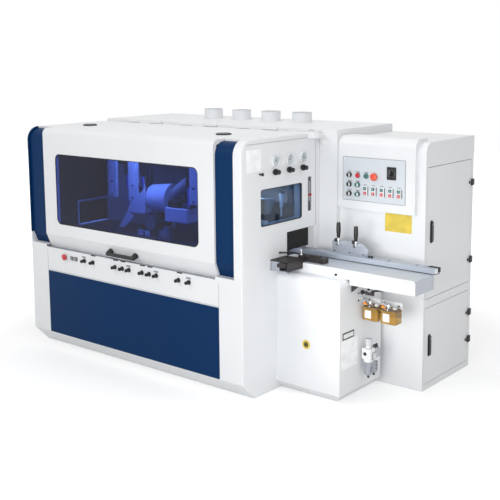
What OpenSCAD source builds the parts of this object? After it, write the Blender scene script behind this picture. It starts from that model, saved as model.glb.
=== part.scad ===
// Four sided moulder: a floor standing machine that planes all four faces of a timber in one pass.
// Machine places are measured from the infeed end's outer face (x), the front face (y) and the floor (z).
// Timber runs from the infeed end on the right, at +X, to the outfeed end on the left.

/* [Body] */
// Length of the main body between its two end faces
body_l = 2110; // [1900:10:2600]
// Depth of the machine, front face to back
body_d = 1565; // [1450:5:1700]
// Height of the rear roof above the tables
cover_h = 840; // [800:5:920]
// Thickness of the sheet steel covers
sheet = 4; // [3:0.5:6]
// Wall thickness of the welded base
base_wall = 8; // [7:0.5:12]
// Height of the bed, from the base's top plate to the tables
bed_h = 105; // [95:1:130]
// Height and depth of the sloping toe recess
toe = 120; // [80:5:140]
// Thickness of the infeed end box
end_t = 66; // [50:1:90]
// Depth of the infeed end box
end_d = 842; // [825:1:855]
// How far the infeed end box lies below the rear roof
end_drop = 15; // [5:1:40]
// Thickness of the outfeed end plate
out_t = 10; // [8:1:16]
// Width of the left front column
col_l = 190; // [150:5:240]
// Width of the right front column
col_r = 195; // [150:5:240]
// Height of the strip of controls, from the lower front panel to the base's top
strip_h = 155; // [120:5:240]
// Rim of the base behind the lower front panel's edge
panel_rim = 25; // [15:1:40]

/* [Hood] */
// Front edge of the rear roof, where the hood is hinged
roof_y = 800; // [760:5:815]
// How far the hood's top lies below the rear roof
hood_drop = 20; // [18:1:30]
// Radius of the hood's top front corner
hood_r = 45; // [40:5:140]
// Radius of the top front corner of the end walls and the trims
end_r = 100; // [60:5:140]
// Height of the hood's sloping front above the base's top
slope_h = 130; // [100:5:160]
// How far the hood's lower lip stands back
lip_y = 42; // [36:1:80]
// Height of the hood's lip above the base's top
lip_gap = 29; // [22:1:40]
// Height of the strip's upright edge above the base's top
strip_rise = 26; // [12:1:30]
// Width of the left blue trim
trim_l = 170; // [140:5:220]
// Width of the right blue trim
trim_r = 159; // [130:1:220]
// How far the trims reach over the top
trim_over = 110; // [105:5:200]
// How far the trims lie behind the hood's sheet
trim_in = 14; // [8:1:20]
// Height of the trims' lower edge above the base's top
trim_up = 46; // [35:1:60]
// Gap between the hood and the parts beside it
hood_gap = 3; // [2:0.5:6]
// Depth of the hood's side flanges
hood_flange = 30; // [20:1:40]
// Length of the hood's window
window_l = 1430; // [900:10:1480]
// Height of the hood's window
window_h = 525; // [300:5:560]
// Height of the hood's upright front below its window
sill_h = 85; // [60:5:110]
// Corner radius of the window
window_r = 45; // [20:1:80]
// How far the pane laps behind the hood's sheet
pane_lap = 15; // [8:1:25]
// Thickness of the window panes
pane_t = 5; // [4:0.5:8]
// Radius of the hood's hinge pin
hinge_pin_r = 4; // [3:0.5:5]
// Length of the hood's hinge knuckles
knuckle_l = 120; // [60:5:200]
// Span of the bow handle
handle_l = 270; // [180:5:340]
// Place of the bow handle, from the hood's middle
handle_x = -22; // [-60:1:60]
// Radius of the bow handle's bar
handle_r = 11; // [7:0.5:12]
// Radius of the bow handle's feet
boss_r = 16; // [14:0.5:18]
// How far the bow handle's bar stands off the hood
handle_off = 40; // [34:1:55]

/* [Infeed end] */
// Height of the tables
table_h = 860; // [840:5:900]
// Front edge of the feed mouths
mouth_y = 465; // [455:5:490]
// Width of the feed mouths
mouth_l = 303; // [280:1:330]
// Height of the feed mouths
mouth_h = 185; // [150:5:200]
// Front edge of the end window
end_win_y = 190; // [150:5:240]
// Length of the end window
end_win_l = 445; // [300:5:460]
// Height of the end window above the feed mouth
end_win_up = 72; // [50:1:95]
// Height of the end window
end_win_h = 241; // [180:1:260]
// Width of the rim round the end box's lower pocket
pocket_in = 40; // [30:1:60]
// How far the upper pocket stands back from the end box's front and top
pocket_back = 60; // [40:1:80]
// Height of the upper pocket above the end window
pocket_up = 25; // [15:1:35]
// Distance between the upper pocket and the thickness pointer
pocket_side = 45; // [35:1:60]
// Front pressure gauge's place
gauge_y = 332; // [300:1:360]
// Spacing of the gauges and their regulators
gauge_pitch = 150; // [110:1:165]
// How far the pressure gauges lie below the end box's top
gauge_drop = 155; // [140:1:170]
// Radius of a pressure gauge
gauge_r = 35; // [25:1:40]
// Depth of a pressure gauge
gauge_t = 22; // [15:1:30]
// How far the regulator knobs lie below the gauges
regulator_drop = 70; // [64:1:90]
// Radius of a regulator knob
regulator_r = 15; // [11:0.5:20]
// Length of a regulator knob
regulator_l = 32; // [20:1:40]
// Place of the air valve's knob
valve_y = 179; // [150:1:200]
// Radius of the air valve's knob
valve_r = 11; // [8:0.5:14]
// Radius of the regulator and valve stems
stem_r = 5; // [4:0.5:6]
// Place of the thickness pointer
pointer_y = 715; // [700:1:740]
// Height of the thickness pointer above the feed beam
pointer_up = 91; // [70:1:110]
// Radius of the pointer's rod
pointer_r = 4; // [3:0.5:5]

/* [Pedestal and table] */
// Length of the infeed pedestal
ped_l = 500; // [440:5:560]
// Front face of the pedestal
ped_y = 350; // [320:5:380]
// Thickness of the infeed table, which lies on the pedestal
table_t = 60; // [50:1:80]
// Toe slope of the pedestal
ped_toe = 60; // [30:5:80]
// Radius of the pedestal's top edges
ped_r = 40; // [20:1:60]
// How far the infeed table reaches past the end
table_l = 970; // [850:5:1150]
// Front edge of the infeed table
table_y = 450; // [430:1:470]
// Rear edge of the infeed table
table_back = 675; // [668:1:700]
// Depth of the apron beyond the pedestal
apron_h = 92; // [80:1:110]
// Wall of the infeed table
table_wall = 10; // [8:1:14]
// Front face of the fence
fence_y = 665; // [655:1:667]
// Thickness of the fence
fence_t = 65; // [45:1:75]
// Height of the fence
fence_h = 38; // [30:1:60]
// How far the fence passes the table's end
fence_over = 15; // [5:1:40]
// How far the fence runs on inside the machine
fence_in = 130; // [100:5:160]
// Shadow groove under the fence's front edge
fence_groove = 5; // [3:0.5:8]

/* [Clamp levers] */
// Start of the lever bracket
bracket_x = 187; // [150:1:220]
// Length of the lever bracket
bracket_l = 270; // [250:1:300]
// Height of the lever bracket
bracket_h = 82; // [70:1:100]
// Thickness of the lever bracket
bracket_t = 6; // [4:0.5:8]
// Width of the bracket's foot
bracket_foot = 26; // [18:1:32]
// Place of the first clamp lever along the bracket
lever_in = 61; // [50:1:70]
// Spacing of the clamp levers
lever_pitch = 136; // [120:1:150]
// Radius of a clamp lever's screw
lever_r = 5; // [4:0.5:6]
// Height of a clamp lever's arm
lever_h = 48; // [40:1:60]
// Length of a clamp lever's grip
grip_l = 95; // [70:1:110]
// Largest radius of a clamp lever's grip
grip_r = 15; // [11:0.5:18]

/* [Side guide] */
// Near side of the guide arm
arm_x = 85; // [80:1:110]
// Width of the guide arm
arm_w = 50; // [35:1:60]
// Front end of the guide arm
arm_y = 245; // [200:5:270]
// Thickness of the guide arm
arm_t = 24; // [18:1:28]
// Length of the guide shoe along the table
shoe_l = 210; // [160:5:260]
// Front of the guide shoe
shoe_y = 497; // [480:1:505]
// Width of the guide shoe
shoe_w = 46; // [30:1:55]
// Height of the guide shoe
shoe_h = 34; // [26:1:45]
// Front of the guide bracket
channel_y = 284; // [270:1:295]
// Wall of the guide bracket
channel_t = 8; // [6:0.5:10]
// How far the guide bracket reaches below the arm
channel_drop = 38; // [30:1:45]
// How far the guide shoe passes the arm towards the machine
shoe_over = 15; // [5:1:30]

/* [Lubricators and air unit] */
// Start of the lubricator plate past the pedestal
lub_x = 14; // [8:1:40]
// Width of an oil reservoir
lub_w = 112; // [90:1:120]
// Depth of an oil reservoir
lub_d = 76; // [60:1:90]
// Height of an oil reservoir
lub_h = 84; // [80:1:120]
// Spacing of the two reservoirs
lub_pitch = 134; // [128:1:150]
// Gap between the table's apron and the lubricators' back plate
lub_gap = 122; // [40:1:140]
// Back plate of the lubricators
lub_y = 664; // [650:1:672]
// Thickness of the back plate
lub_t = 6; // [4:0.5:8]
// Half width of the back plate's foot on the pedestal
lub_foot = 40; // [30:1:44]
// Height of a reservoir's lid
lid_h = 22; // [16:1:28]
// Inset of a reservoir's lid
lid_in = 6; // [3:0.5:10]
// Height of a pump lever's post
pump_h = 14; // [10:1:18]
// Radius of a pump lever's post
pump_r = 9; // [6:0.5:11]
// Length of a pump lever
pump_l = 46; // [36:1:60]
// Height of the back plate above the reservoirs
lub_top = 48; // [47:1:90]
// Place of the air unit along the pedestal's side
air_y = 606; // [580:1:630]
// Width of the air unit's bodies
air_w = 66; // [54:1:76]
// Gap between the reservoirs and the air unit's knob
air_gap = 123; // [40:1:140]
// Height of the air unit's bodies
air_h = 84; // [70:1:100]
// Length of the air unit's bowls
bowl_l = 96; // [80:1:120]
// Radius of the air unit's bowls
bowl_r = 26; // [20:1:27]
// Length of a bowl's drain
drain_l = 22; // [12:1:30]
// Radius of a bowl's drain
drain_r = 7; // [5:0.5:9]
// Stand-off of the air unit from the pedestal
air_off = 20; // [12:1:30]
// Radius of the air unit's knob
air_knob_r = 22; // [16:1:26]
// Height of the air unit's knob
air_knob_h = 62; // [40:1:75]

/* [Cabinet] */
// Left side of the electrical cabinet, past the infeed end
cab_x = 140; // [120:5:180]
// Width of the electrical cabinet
cab_w = 650; // [600:5:720]
// Front of the electrical cabinet
cab_y = 888; // [878:1:900]
// How far the cabinet's top lies below the rear roof
cab_drop = 55; // [40:5:90]
// Radius of the cabinet's top front edge
cab_r = 70; // [40:1:90]
// Border of the doors to the cabinet's front
door_y = 24; // [20:1:40]
// Border of the doors to the cabinet's back
door_back = 37; // [36:1:60]
// Gap around the doors
door_gap = 3; // [2:0.5:5]
// Underside of the lower door
low_door_z = 45; // [30:1:80]
// Height of the lower door
low_door_h = 513; // [450:1:530]
// Height of the rail between the doors
rail_h = 64; // [50:1:80]
// Border above the upper door
door_top = 162; // [140:1:200]
// Height of a door hinge
hinge_h = 45; // [36:1:60]
// Distance from a door's end to its hinge
hinge_in = 158; // [120:1:180]
// Radius of a door hinge's knuckle
hinge_r = 6; // [5:0.5:8]
// Length of a door handle
latch_l = 150; // [110:5:170]
// Width of a door handle
latch_w = 28; // [22:1:36]
// Place of the door handles behind a door's front edge
latch_in = 60; // [45:1:80]
// Height of the upper door's handle axis above the door's underside
top_latch_up = 490; // [400:1:560]
// Height of the lower door's handle axis above the door's underside
low_latch_up = 305; // [200:1:340]
// Depth of a contactor in the cabinet
gear_d = 70; // [50:1:90]
// Width of a contactor
gear_w = 50; // [40:1:56]
// Height of a contactor
gear_h = 90; // [70:1:110]
// Spacing of the contactors along a row
gear_pitch = 68; // [60:1:80]
// Spacing of the rows of contactors
gear_rows = 220; // [180:1:240]
// Thickness of the switchgear's mounting panel
gear_panel = 20; // [10:1:25]
// Border around the switchgear's mounting panel
gear_in = 60; // [40:1:80]
// Radius of a door handle's shaft
latch_r = 8; // [6:0.5:10]

/* [Console] */
// Width of the control console
cons_w = 588; // [560:1:600]
// Height of the console
cons_h = 490; // [470:1:520]
// How far the console stands in front of the cabinet
cons_out = 30; // [28:1:45]
// How far the console stands above the cabinet
cons_up = 20; // [15:1:30]
// How far the console reaches back over the cabinet
cons_back = 120; // [100:1:200]
// Radius of the console's top front edge
cons_r = 60; // [40:1:80]
// Sheet thickness of the console
cons_t = 3; // [2:0.5:4]
// Start of the control plate on the console
plate_in = 42; // [30:1:60]
// Width of the control plate
plate_w = 473; // [460:1:500]
// Height of the control plate above the console's underside
plate_up = 62; // [40:1:80]
// Height of the control plate
plate_h = 286; // [270:1:300]
// Thickness of the control plate
plate_t = 2; // [1.5:0.5:4]
// First column of switches on the plate
col_in = 51; // [40:1:60]
// Spacing of the switch columns
col_pitch = 65; // [56:1:66]
// Spacing of the switch rows
row_pitch = 63; // [56:1:64]
// Height of the lowest switch row on the plate
row_z = 42; // [38:1:50]
// First motor button's column on the plate
motor_in = 173; // [168:1:180]
// Spacing of the motor button columns
motor_pitch = 64; // [58:1:66]
// Height of the motor stop buttons on the plate
motor_z = 53; // [50:1:60]
// Rise from a motor stop button to its start button
motor_rise = 31; // [29:1:34]
// Place of the speed dial on the plate
dial_in = 374; // [360:1:400]
// Height of the speed dial on the plate
dial_z = 199; // [190:1:210]
// Radius of a button
button_r = 11; // [9:0.5:12]
// Radius of a button's collar
collar_r = 14.5; // [13:0.5:15]
// Height of a button's collar
collar_h = 5; // [3:0.5:7]
// How far a button stands out of its collar
button_out = 5; // [4:0.5:8]
// Travel of a button
travel = 4; // [3:0.5:5]
// Radius of a mushroom head
mushroom_r = 20; // [18:0.5:21]
// Radius of the speed dial's knob
dial_r = 17; // [12:0.5:20]

/* [Front strip] */
// How far the controls on the front strip lie below the base's top
control_drop = 27; // [22:1:60]
// Places of the spindle adjusters, from the infeed end
adjuster_x = [455, 550, 758, 827, 897, 1027, 1095, 1170, 1405, 1498]; // [440:1:1510]
// Places of the two small switches, from the infeed end
switch_x = [1591, 1636]; // [1560:1:1650]
// Place of the emergency stop on the front strip, from the infeed end
stop_x = 1713; // [1680:1:1730]
// Radius of an adjuster's boss
adjuster_r = 12; // [9:0.5:15]
// Length of an adjuster
adjuster_l = 34; // [25:1:40]
// How far the front strip's emergency stop stands out
stop_out = 45; // [42:1:60]

/* [Spindles and feed] */
// Radius of the cutter blocks
cutter_r = 60; // [50:1:62]
// Width of the horizontal cutter blocks
cutter_w = 185; // [150:1:190]
// Height of the vertical cutter blocks
cutter_h = 90; // [70:1:110]
// Radius of the spindle shafts
shaft_r = 20; // [15:1:25]
// Clear height over the table at rest
feed_open = 45; // [40:1:60]
// Free width of the timber path beside the fence
feed_w = 185; // [175:1:195]
// Place of the bottom spindle, from the infeed end
bottom_x = 430; // [400:5:450]
// Place of the right spindle, from the infeed end
right_x = 860; // [830:5:900]
// Place of the left spindle, from the infeed end
left_x = 1070; // [1040:5:1100]
// Place of the top spindle, from the infeed end
top_x = 1300; // [1270:5:1330]
// Places of the two feed rollers, from the infeed end
roller_x = [300, 640]; // [290:5:660]
// Radius of a feed roller
roller_r = 70; // [55:1:75]
// Width of a feed roller
roller_w = 60; // [40:1:70]
// Radius of a feed roller's shaft
roller_shaft_r = 12; // [9:0.5:15]
// Radius of the housings of the spindle motors
motor_r = 75; // [60:1:85]
// Length of the vertical spindle motors
motor_l = 270; // [200:5:320]
// Length of the horizontal spindle motors
motor_d = 200; // [150:5:240]
// Radius of the posts that carry the feed beam
post_r = 25; // [18:1:28]
// Height of the posts above the table
post_h = 470; // [430:5:500]
// Depth of the feed beam
beam_d = 120; // [100:1:124]
// Height of the feed beam
beam_h = 120; // [90:1:140]
// Underside of the feed beam above the table
beam_up = 195; // [190:1:230]
// Offset of the feed beam behind the fence's face
beam_off = 15; // [10:1:18]
// How far the feed beam passes its second post
beam_over = 120; // [60:5:160]
// First post, from the infeed end's inner face
post_in = 110; // [100:1:130]
// Spacing of the two posts
post_span = 1384; // [1200:2:1500]
// Width of a roller's hanger
hanger_w = 60; // [40:1:80]
// Gap between the bed and the walls around it
bed_in = 12; // [8:1:16]
// Front edge of the bed
bed_y = 200; // [150:5:240]
// Wall of the bed
bed_wall = 40; // [30:1:50]
// Gap between the bed and the motors behind it
motor_gap = 20; // [15:1:30]
// Free space around a cutter block in its slot
cutter_free = 10; // [6:1:16]
// Free space around a vertical shaft in its hole
shaft_free = 6; // [4:1:10]
// How far a vertical shaft stands out of its cutter block
shaft_out = 20; // [10:1:40]
// Downward travel of the feed beam
beam_down = 30; // [20:1:32]
// Upward travel of the feed beam
beam_rise = 80; // [40:1:90]

/* [Dust spouts] */
// Outside radius of a dust spout
spout_r = 75; // [60:1:90]
// Wall of a dust spout
spout_t = 2; // [1.5:0.5:4]
// Height of a dust spout above the roof
spout_h = 75; // [50:1:120]
// First dust spout, from the infeed end
spout_x = 500; // [460:5:560]
// Spacing of the dust spouts
spout_pitch = 297; // [240:1:320]
// Distance of the dust spouts from the back
spout_back = 245; // [200:5:300]
// Width of a spout's flange
spout_flange = 15; // [10:1:25]

/* [Hidden] */
$fn = 48;
SPOUTS = 4;
SELECTORS = 5;
MOTORS = 5;

// Running clearance of shafts and stems, and the overshoot of a cut past a face
run_gap = 0.05;
slide_gap = 0.3;
cut = 1;
// Inset of a mitred corner where two faces meet at 45 degrees
mitre = tan(22.5);

// Overall box, which sets the origin at the middle of the footprint
fence_x1 = table_l + fence_over;
off_x = (body_l - fence_x1) / 2;
off_y = -(body_d - stop_out) / 2;

// Heights, which all follow the tables
body_h = table_h + cover_h;
base_top = table_h - bed_h;
panel_top = base_top - strip_h;
control_z = base_top - control_drop;
end_h = body_h - end_drop;
end_win_z = table_h + mouth_h + end_win_up;
gauge_z = end_h - gauge_drop;
regulator_z = gauge_z - regulator_drop;
ped_h = table_h - table_t;
lub_z = table_h - apron_h - lub_gap - lub_top - lub_h;
air_z = lub_z - air_gap - air_knob_h - air_h;
cab_h = body_h - cab_drop;
slope_top = base_top + slope_h;
window_z = slope_top + sill_h;

// Faces of the body
out_x = -body_l + out_t;
panel_x0 = -body_l + col_l;
panel_x1 = -col_r;
cab_x1 = cab_x + cab_w;

// Hood profile
hood_top = body_h - hood_drop;
lip_z = base_top + lip_gap;
slope_a = atan(lip_y / (slope_top - lip_z));
trim_x0 = out_x + trim_l;
trim_x1 = -end_t - trim_r;
hood_x0 = trim_x0 + hood_gap;
hood_x1 = trim_x1 - hood_gap;
hood_mid = (hood_x0 + hood_x1) / 2;
knuckle_r = (hood_drop - 3) / 2;
hinge_y = roof_y - knuckle_r - 3;
hinge_z = hood_top + knuckle_r + 1;
knuckle_x = [for (i = [0 : 2]) hood_x0 + (hood_x1 - hood_x0) * (i + 0.5) / 3];
jamb_w = 60;
jamb_y = end_r - 4 * sheet;
trim_z = base_top + trim_up;
trim_back = trim_in + 2 * sheet;

// Bow handle on the middle of the slope
handle_s = (slope_top - lip_z) / cos(slope_a) / 2;

// Fittings on the infeed end
gauge_ys = [for (i = [0 : 2]) gauge_y + i * gauge_pitch];
slot_w = 2 * pointer_r + 3;

// Side guide and fence
arm_z = table_h + slide_gap;
channel_d = table_y - channel_y;
foot_y = fence_y + fence_t - bracket_foot;
lever_y = fence_y + fence_t - bracket_t;
lever_z = table_h + fence_h + bracket_h - 4 * lever_r;
hub_t = 2 * (grip_r + 3);

// Doors
top_door_z = low_door_z + low_door_h + rail_h;
top_door_h = cab_h - door_top - top_door_z;
top_latch_z = top_door_z + top_latch_up;
low_latch_z = low_door_z + low_latch_up;
door_y0 = cab_y + door_y;
door_y1 = body_d - door_back;
pivot_x = cab_x1 + hinge_r + 1;
pivot_y = door_y1 + door_gap / 2;
rose_t = 6;
grip_t = 14;

// Console faces and control places
cons_x = cab_x + 2;
cons_x1 = cons_x + cons_w;
cons_y = cab_y - cons_out;
cons_top = cab_h + cons_up;
cons_z = cons_top - cons_h;
plate_z = cons_z + plate_up;
plate_x = cons_x + plate_in;
plate_y = cons_y - plate_t;
stem_back = cab_y - 6;
col_xs = [for (i = [0 : 3]) plate_x + col_in + i * col_pitch];
row_zs = [for (i = [0 : 2]) plate_z + row_z + i * row_pitch];
motor_xs = [for (i = [0 : MOTORS - 1]) plate_x + motor_in + i * motor_pitch];
selector_at = [[col_xs[0], row_zs[2]], [col_xs[0], row_zs[1]], [col_xs[0], row_zs[0]],
               [col_xs[1], row_zs[1]], [col_xs[1], row_zs[0]]];
stop_at = [col_xs[1], row_zs[2]];
start_at = [col_xs[2], row_zs[2]];
estop_at = [col_xs[3], row_zs[2]];
dial_at = [plate_x + dial_in, plate_z + dial_z];
start_z = plate_z + motor_z + motor_rise;
stop_z = plate_z + motor_z;
push_at = concat([stop_at, start_at], [for (x = motor_xs) [x, start_z]], [for (x = motor_xs) [x, stop_z]]);
knob_base = 6;
knob_t = 14;
mushroom_t = 16;
dial_plate = [65, 82, 6];

// Timber path and spindles
feed_y0 = fence_y - feed_w;
feed_mid = fence_y - feed_w / 2;
bed_x0 = out_x + bed_in;
bed_x1 = -end_t - bed_in;
bed_y1 = roof_y - bed_in;
low_axis_z = table_h - cutter_r;
top_axis_z = table_h + feed_open + cutter_r;
right_axis_y = fence_y + cutter_r;
left_axis_y = feed_y0 - cutter_r - 1;
motor_y = bed_y1 + motor_gap;
shaft_end = motor_y + motor_d;
roller_z = table_h + feed_open + roller_r;
beam_y0 = fence_y + beam_off;
beam_y1 = beam_y0 + beam_d;
beam_mid = (beam_y0 + beam_y1) / 2;
beam_z = table_h + beam_up;
beam_x1 = bed_x1 - bed_in;
post_x = [-end_t - post_in, -end_t - post_in - post_span];
beam_x0 = post_x[1] - beam_over;
pointer_z = beam_z + beam_h + pointer_up;

spout_xs = [for (i = [0 : SPOUTS - 1]) -spout_x - i * spout_pitch];
spout_y = body_d - spout_back;

// Moves a piece from machine places into the part's frame
module machine() { translate([off_x, off_y, 0]) children(); }

// A box from its low corner to its high corner
module block(a, b) { translate(a) cube(b - a); }

// Round bars along each axis
module rod_x(x0, x1, y, z, r) { translate([x0, y, z]) rotate([0, 90, 0]) cylinder(h = x1 - x0, r = r); }
module rod_y(y0, y1, x, z, r) { translate([x, y0, z]) rotate([-90, 0, 0]) cylinder(h = y1 - y0, r = r); }
module rod_z(z0, z1, x, y, r) { translate([x, y, z0]) cylinder(h = z1 - z0, r = r); }

// A side outline drawn as (y, z), pushed along X
module along_x(x0, x1) { translate([x0, 0, 0]) rotate([90, 0, 90]) linear_extrude(x1 - x0) children(); }

// A front outline drawn as (x, z), pushed along Y
module along_y(y0, y1) { translate([0, y1, 0]) rotate([90, 0, 0]) linear_extrude(y1 - y0) children(); }

// A rectangle with round corners, as a front outline
module round_rect(x0, x1, z0, z1, r) {
    translate([x0 + r, z0]) square([x1 - x0 - 2 * r, z1 - z0]);
    translate([x0, z0 + r]) square([x1 - x0, z1 - z0 - 2 * r]);
    for (x = [x0 + r, x1 - r], z = [z0 + r, z1 - r]) translate([x, z]) circle(r);
}

// Points of the sloping front, set in by d
function lip_point(d) = [lip_y + d * cos(slope_a), lip_z + d * sin(slope_a)];
function slope_point(d) = [d, slope_top + d * tan(slope_a / 2)];

function slope_at(d, z) = [d + (slope_point(d)[1] - z) * tan(slope_a), z];

// A sheet bent to the hood's profile, between two insets, from two lower points a and b to y1 on the top
module bent_sheet(x0, x1, d0, d1, a, b, r, y1) along_x(x0, x1) {
    polygon([a, slope_point(d0), [d0, hood_top - r], [d1, hood_top - r], slope_point(d1), b]);
    intersection() {
        difference() {
            translate([r, hood_top - r]) circle(r - d0);
            translate([r, hood_top - r]) circle(r - d1);
        }
        translate([0, hood_top - r]) square(r);
    }
    translate([r, hood_top - d1]) square([y1 - r, d1 - d0]);
}

// The hood's sheet, which ends square at the lip
module hood_sheet(x0, x1, d1, y1) bent_sheet(x0, x1, 0, d1, lip_point(0), lip_point(d1), hood_r, y1);

// A sheet beside the hood, which ends level above the strip
module side_sheet(x0, x1, d0, d1, y1)
    bent_sheet(x0, x1, d0, d1, slope_at(d0, trim_z), slope_at(d1, trim_z), end_r, y1);

// Side outline of an end wall with a round top front corner
module end_solid(x0, x1, depth, height) {
    along_x(x0, x1) polygon([[toe, 0], [0, toe], [0, height - end_r], [end_r, height - end_r],
                             [end_r, height], [depth, height], [depth, 0]]);
    rod_x(x0, x1, end_r, height - end_r, end_r);
}

// The opening that timber passes through
module mouth(x0, x1) {
    block([x0 - cut, mouth_y, table_h], [x1 + cut, mouth_y + mouth_l, table_h + mouth_h]);
}

// Side outline of the base, set in by d
module base_outline(d) {
    polygon([[toe + d * mitre, d], [d, toe + d * mitre], [d, base_top - d],
             [body_d - d, base_top - d], [body_d - d, d]]);
}

// Welded base: the lower front, the strip of controls with its upright edge, and the top plate for the bed
module base_cabinet() color("whitesmoke") machine() difference() {
    union() {
        along_x(out_x, -end_t) base_outline(0);
        block([trim_x0, 0, base_top - base_wall], [trim_x1, sheet, base_top + strip_rise]);
    }
    along_x(out_x + base_wall, -end_t - base_wall) base_outline(base_wall);
    block([panel_x0, -cut, toe], [panel_x1, sheet, panel_top]);
    block([panel_x0 + panel_rim, -cut, toe + panel_rim],
          [panel_x1 - panel_rim, base_wall + cut, panel_top - panel_rim]);
    rod_y(-cut, base_wall + cut, -stop_x, control_z, button_r + run_gap);
    for (p = [[right_x, right_axis_y], [left_x, left_axis_y]])
        rod_z(base_top - base_wall - cut, base_top + cut, -p[0], p[1], shaft_r + shaft_free);
    cutter_slot(base_top - base_wall, base_top, fence_y + cutter_free);
}

// The slot that the bottom cutter block turns in, between two heights
module cutter_slot(z0, z1, y1) {
    block([-bottom_x - cutter_r - cutter_free, feed_y0 - cutter_free, z0 - cut],
          [-bottom_x + cutter_r + cutter_free, y1, z1 + cut]);
}

// Blue sheets: the lower front panel and the two trims beside the hood
module blue_panels() color("midnightblue") machine() {
    block([panel_x0, 0, toe], [panel_x1, sheet, panel_top]);
    side_sheet(out_x, trim_x0, trim_in, trim_in + sheet, trim_over);
    side_sheet(trim_x1, -end_t, trim_in, trim_in + sheet, trim_over);
}

// Infeed end box with its window, the feed mouth and the pockets behind its outer skin
module infeed_end_plate() color("whitesmoke") machine() difference() {
    end_solid(-end_t, 0, end_d, end_h);
    mouth(-end_t, 0);
    block([-end_t - cut, end_win_y, end_win_z], [cut, end_win_y + end_win_l, end_win_z + end_win_h]);
    block([-end_t - cut, toe + panel_rim, toe + panel_rim],
          [-sheet, end_d - pocket_in, table_h - pocket_in]);
    block([-end_t - cut, pocket_back, end_win_z + end_win_h + pocket_up],
          [-sheet, pointer_y - pocket_side, end_h - pocket_back]);
    block([-end_t - cut, pointer_y - slot_w / 2, pointer_z - beam_down - slot_w],
          [cut, pointer_y + slot_w / 2, pointer_z + beam_rise + slot_w]);
    for (y = gauge_ys) rod_x(-end_t, cut, y, regulator_z, stem_r + run_gap);
    rod_x(-end_t, cut, valve_y, regulator_z, stem_r + run_gap);
}

// Fixed frame of the enclosure: outfeed end wall, roof strips, columns and jambs beside the hood
module enclosure_frame() color("whitesmoke") machine() {
    difference() {
        end_solid(-body_l, out_x, roof_y, hood_top);
        mouth(-body_l, out_x);
    }
    for (s = [[out_x + slide_gap, trim_x0], [trim_x1, -end_t]]) {
        side_sheet(s[0], s[1], trim_in + sheet, trim_back, roof_y);
        block([s[0], trim_over, hood_top - trim_back], [s[1], roof_y, hood_top]);
        block([s[0], 0, base_top], [s[1], sheet, trim_z]);
        block([s[0], 0, trim_z - sheet], [s[1], jamb_y + sheet, trim_z]);
    }
    for (x = [trim_x0 - jamb_w, trim_x1])
        block([x, jamb_y, base_top], [x + jamb_w, jamb_y + jamb_w, hood_top - trim_back]);
}

// Rear housing with the roof, the bay beside the cabinet and the fixed half of the hood's hinge
module rear_housing() color("whitesmoke") machine() {
    difference() {
        union() {
            block([out_x, roof_y, base_top], [-end_t, body_d, body_h]);
            block([-end_t, end_d, 0], [cab_x, body_d, body_h]);
        }
        block([out_x + sheet, roof_y - cut, base_top - cut], [-end_t, body_d - sheet, body_h - sheet]);
        block([-end_t - cut, end_d + sheet, -cut], [cab_x - sheet, body_d - sheet, body_h - sheet]);
        for (x = spout_xs) rod_z(body_h - sheet - cut, body_h + cut, x, spout_y, spout_r - spout_t);
    }
    block([-end_t, end_d, 0], [-end_t + sheet, body_d, base_top]);
    block([out_x, roof_y, hood_top - 3 * hood_drop], [-end_t, roof_y + sheet, body_h]);
    for (x = knuckle_x, s = [-1, 1]) translate([x + s * knuckle_l, 0, 0]) {
        rod_x(-knuckle_l / 2 + 1, knuckle_l / 2 - 1, hinge_y, hinge_z, knuckle_r);
        block([-knuckle_l / 2 + 1, hinge_y, hinge_z - sheet / 2],
              [knuckle_l / 2 - 1, roof_y, hinge_z + sheet / 2]);
    }
    for (x = knuckle_x) rod_x(x - 1.4 * knuckle_l, x + 1.4 * knuckle_l, hinge_y, hinge_z, hinge_pin_r);
}

// Open spouts for the extraction hoses, each with a flange on the roof
module dust_spouts() color("whitesmoke") machine() for (x = spout_xs) difference() {
    union() {
        rod_z(body_h, body_h + spout_h, x, spout_y, spout_r);
        rod_z(body_h, body_h + sheet, x, spout_y, spout_r + spout_flange);
    }
    rod_z(body_h - cut, body_h + spout_h + cut, x, spout_y, spout_r - spout_t);
}

// Pane of the window in the infeed end
module end_window() color("lightsteelblue", 0.6) machine()
    block([-2 * pane_t - sheet, end_win_y, end_win_z],
          [-pane_t - sheet, end_win_y + end_win_l, end_win_z + end_win_h]);

// Infeed pedestal under the table: a folded shell with a toe slope and round top edges
module infeed_pedestal() color("white") machine() {
    difference() {
        ped_solid(0, 0);
        ped_solid(2 * sheet, -cut);
    }
    block([cab_x, end_d, 0], [cab_x + sheet, cab_y, ped_h - ped_r]);
    block([ped_l - ped_toe - 2 * sheet, end_d, 0], [ped_l - ped_toe, cab_y, ped_h - ped_r]);
}

// Outer form of the pedestal, set in by d and starting at height z0
module ped_solid(d, z0) {
    slant = d * (1 + mitre) - z0;
    top = ped_h - d;
    back = end_d - d;
    intersection() {
        union() {
            along_x(d, ped_l) polygon([[ped_y + ped_toe + slant, z0], [ped_y + d, ped_toe + d * mitre],
                                       [ped_y + d, ped_h - ped_r], [ped_y + ped_r, ped_h - ped_r],
                                       [ped_y + ped_r, top], [back, top], [back, z0]]);
            rod_x(d, ped_l, ped_y + ped_r, ped_h - ped_r, ped_r - d);
        }
        union() {
            along_y(ped_y, end_d) polygon([[d, z0], [ped_l - ped_toe - slant, z0],
                                           [ped_l - d, ped_toe + d * mitre],
                                           [ped_l - d, ped_h - ped_r], [ped_l - ped_r, ped_h - ped_r],
                                           [ped_l - ped_r, top], [d, top]]);
            rod_y(ped_y, end_d, ped_l - ped_r, ped_h - ped_r, ped_r - d);
        }
    }
}

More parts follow.
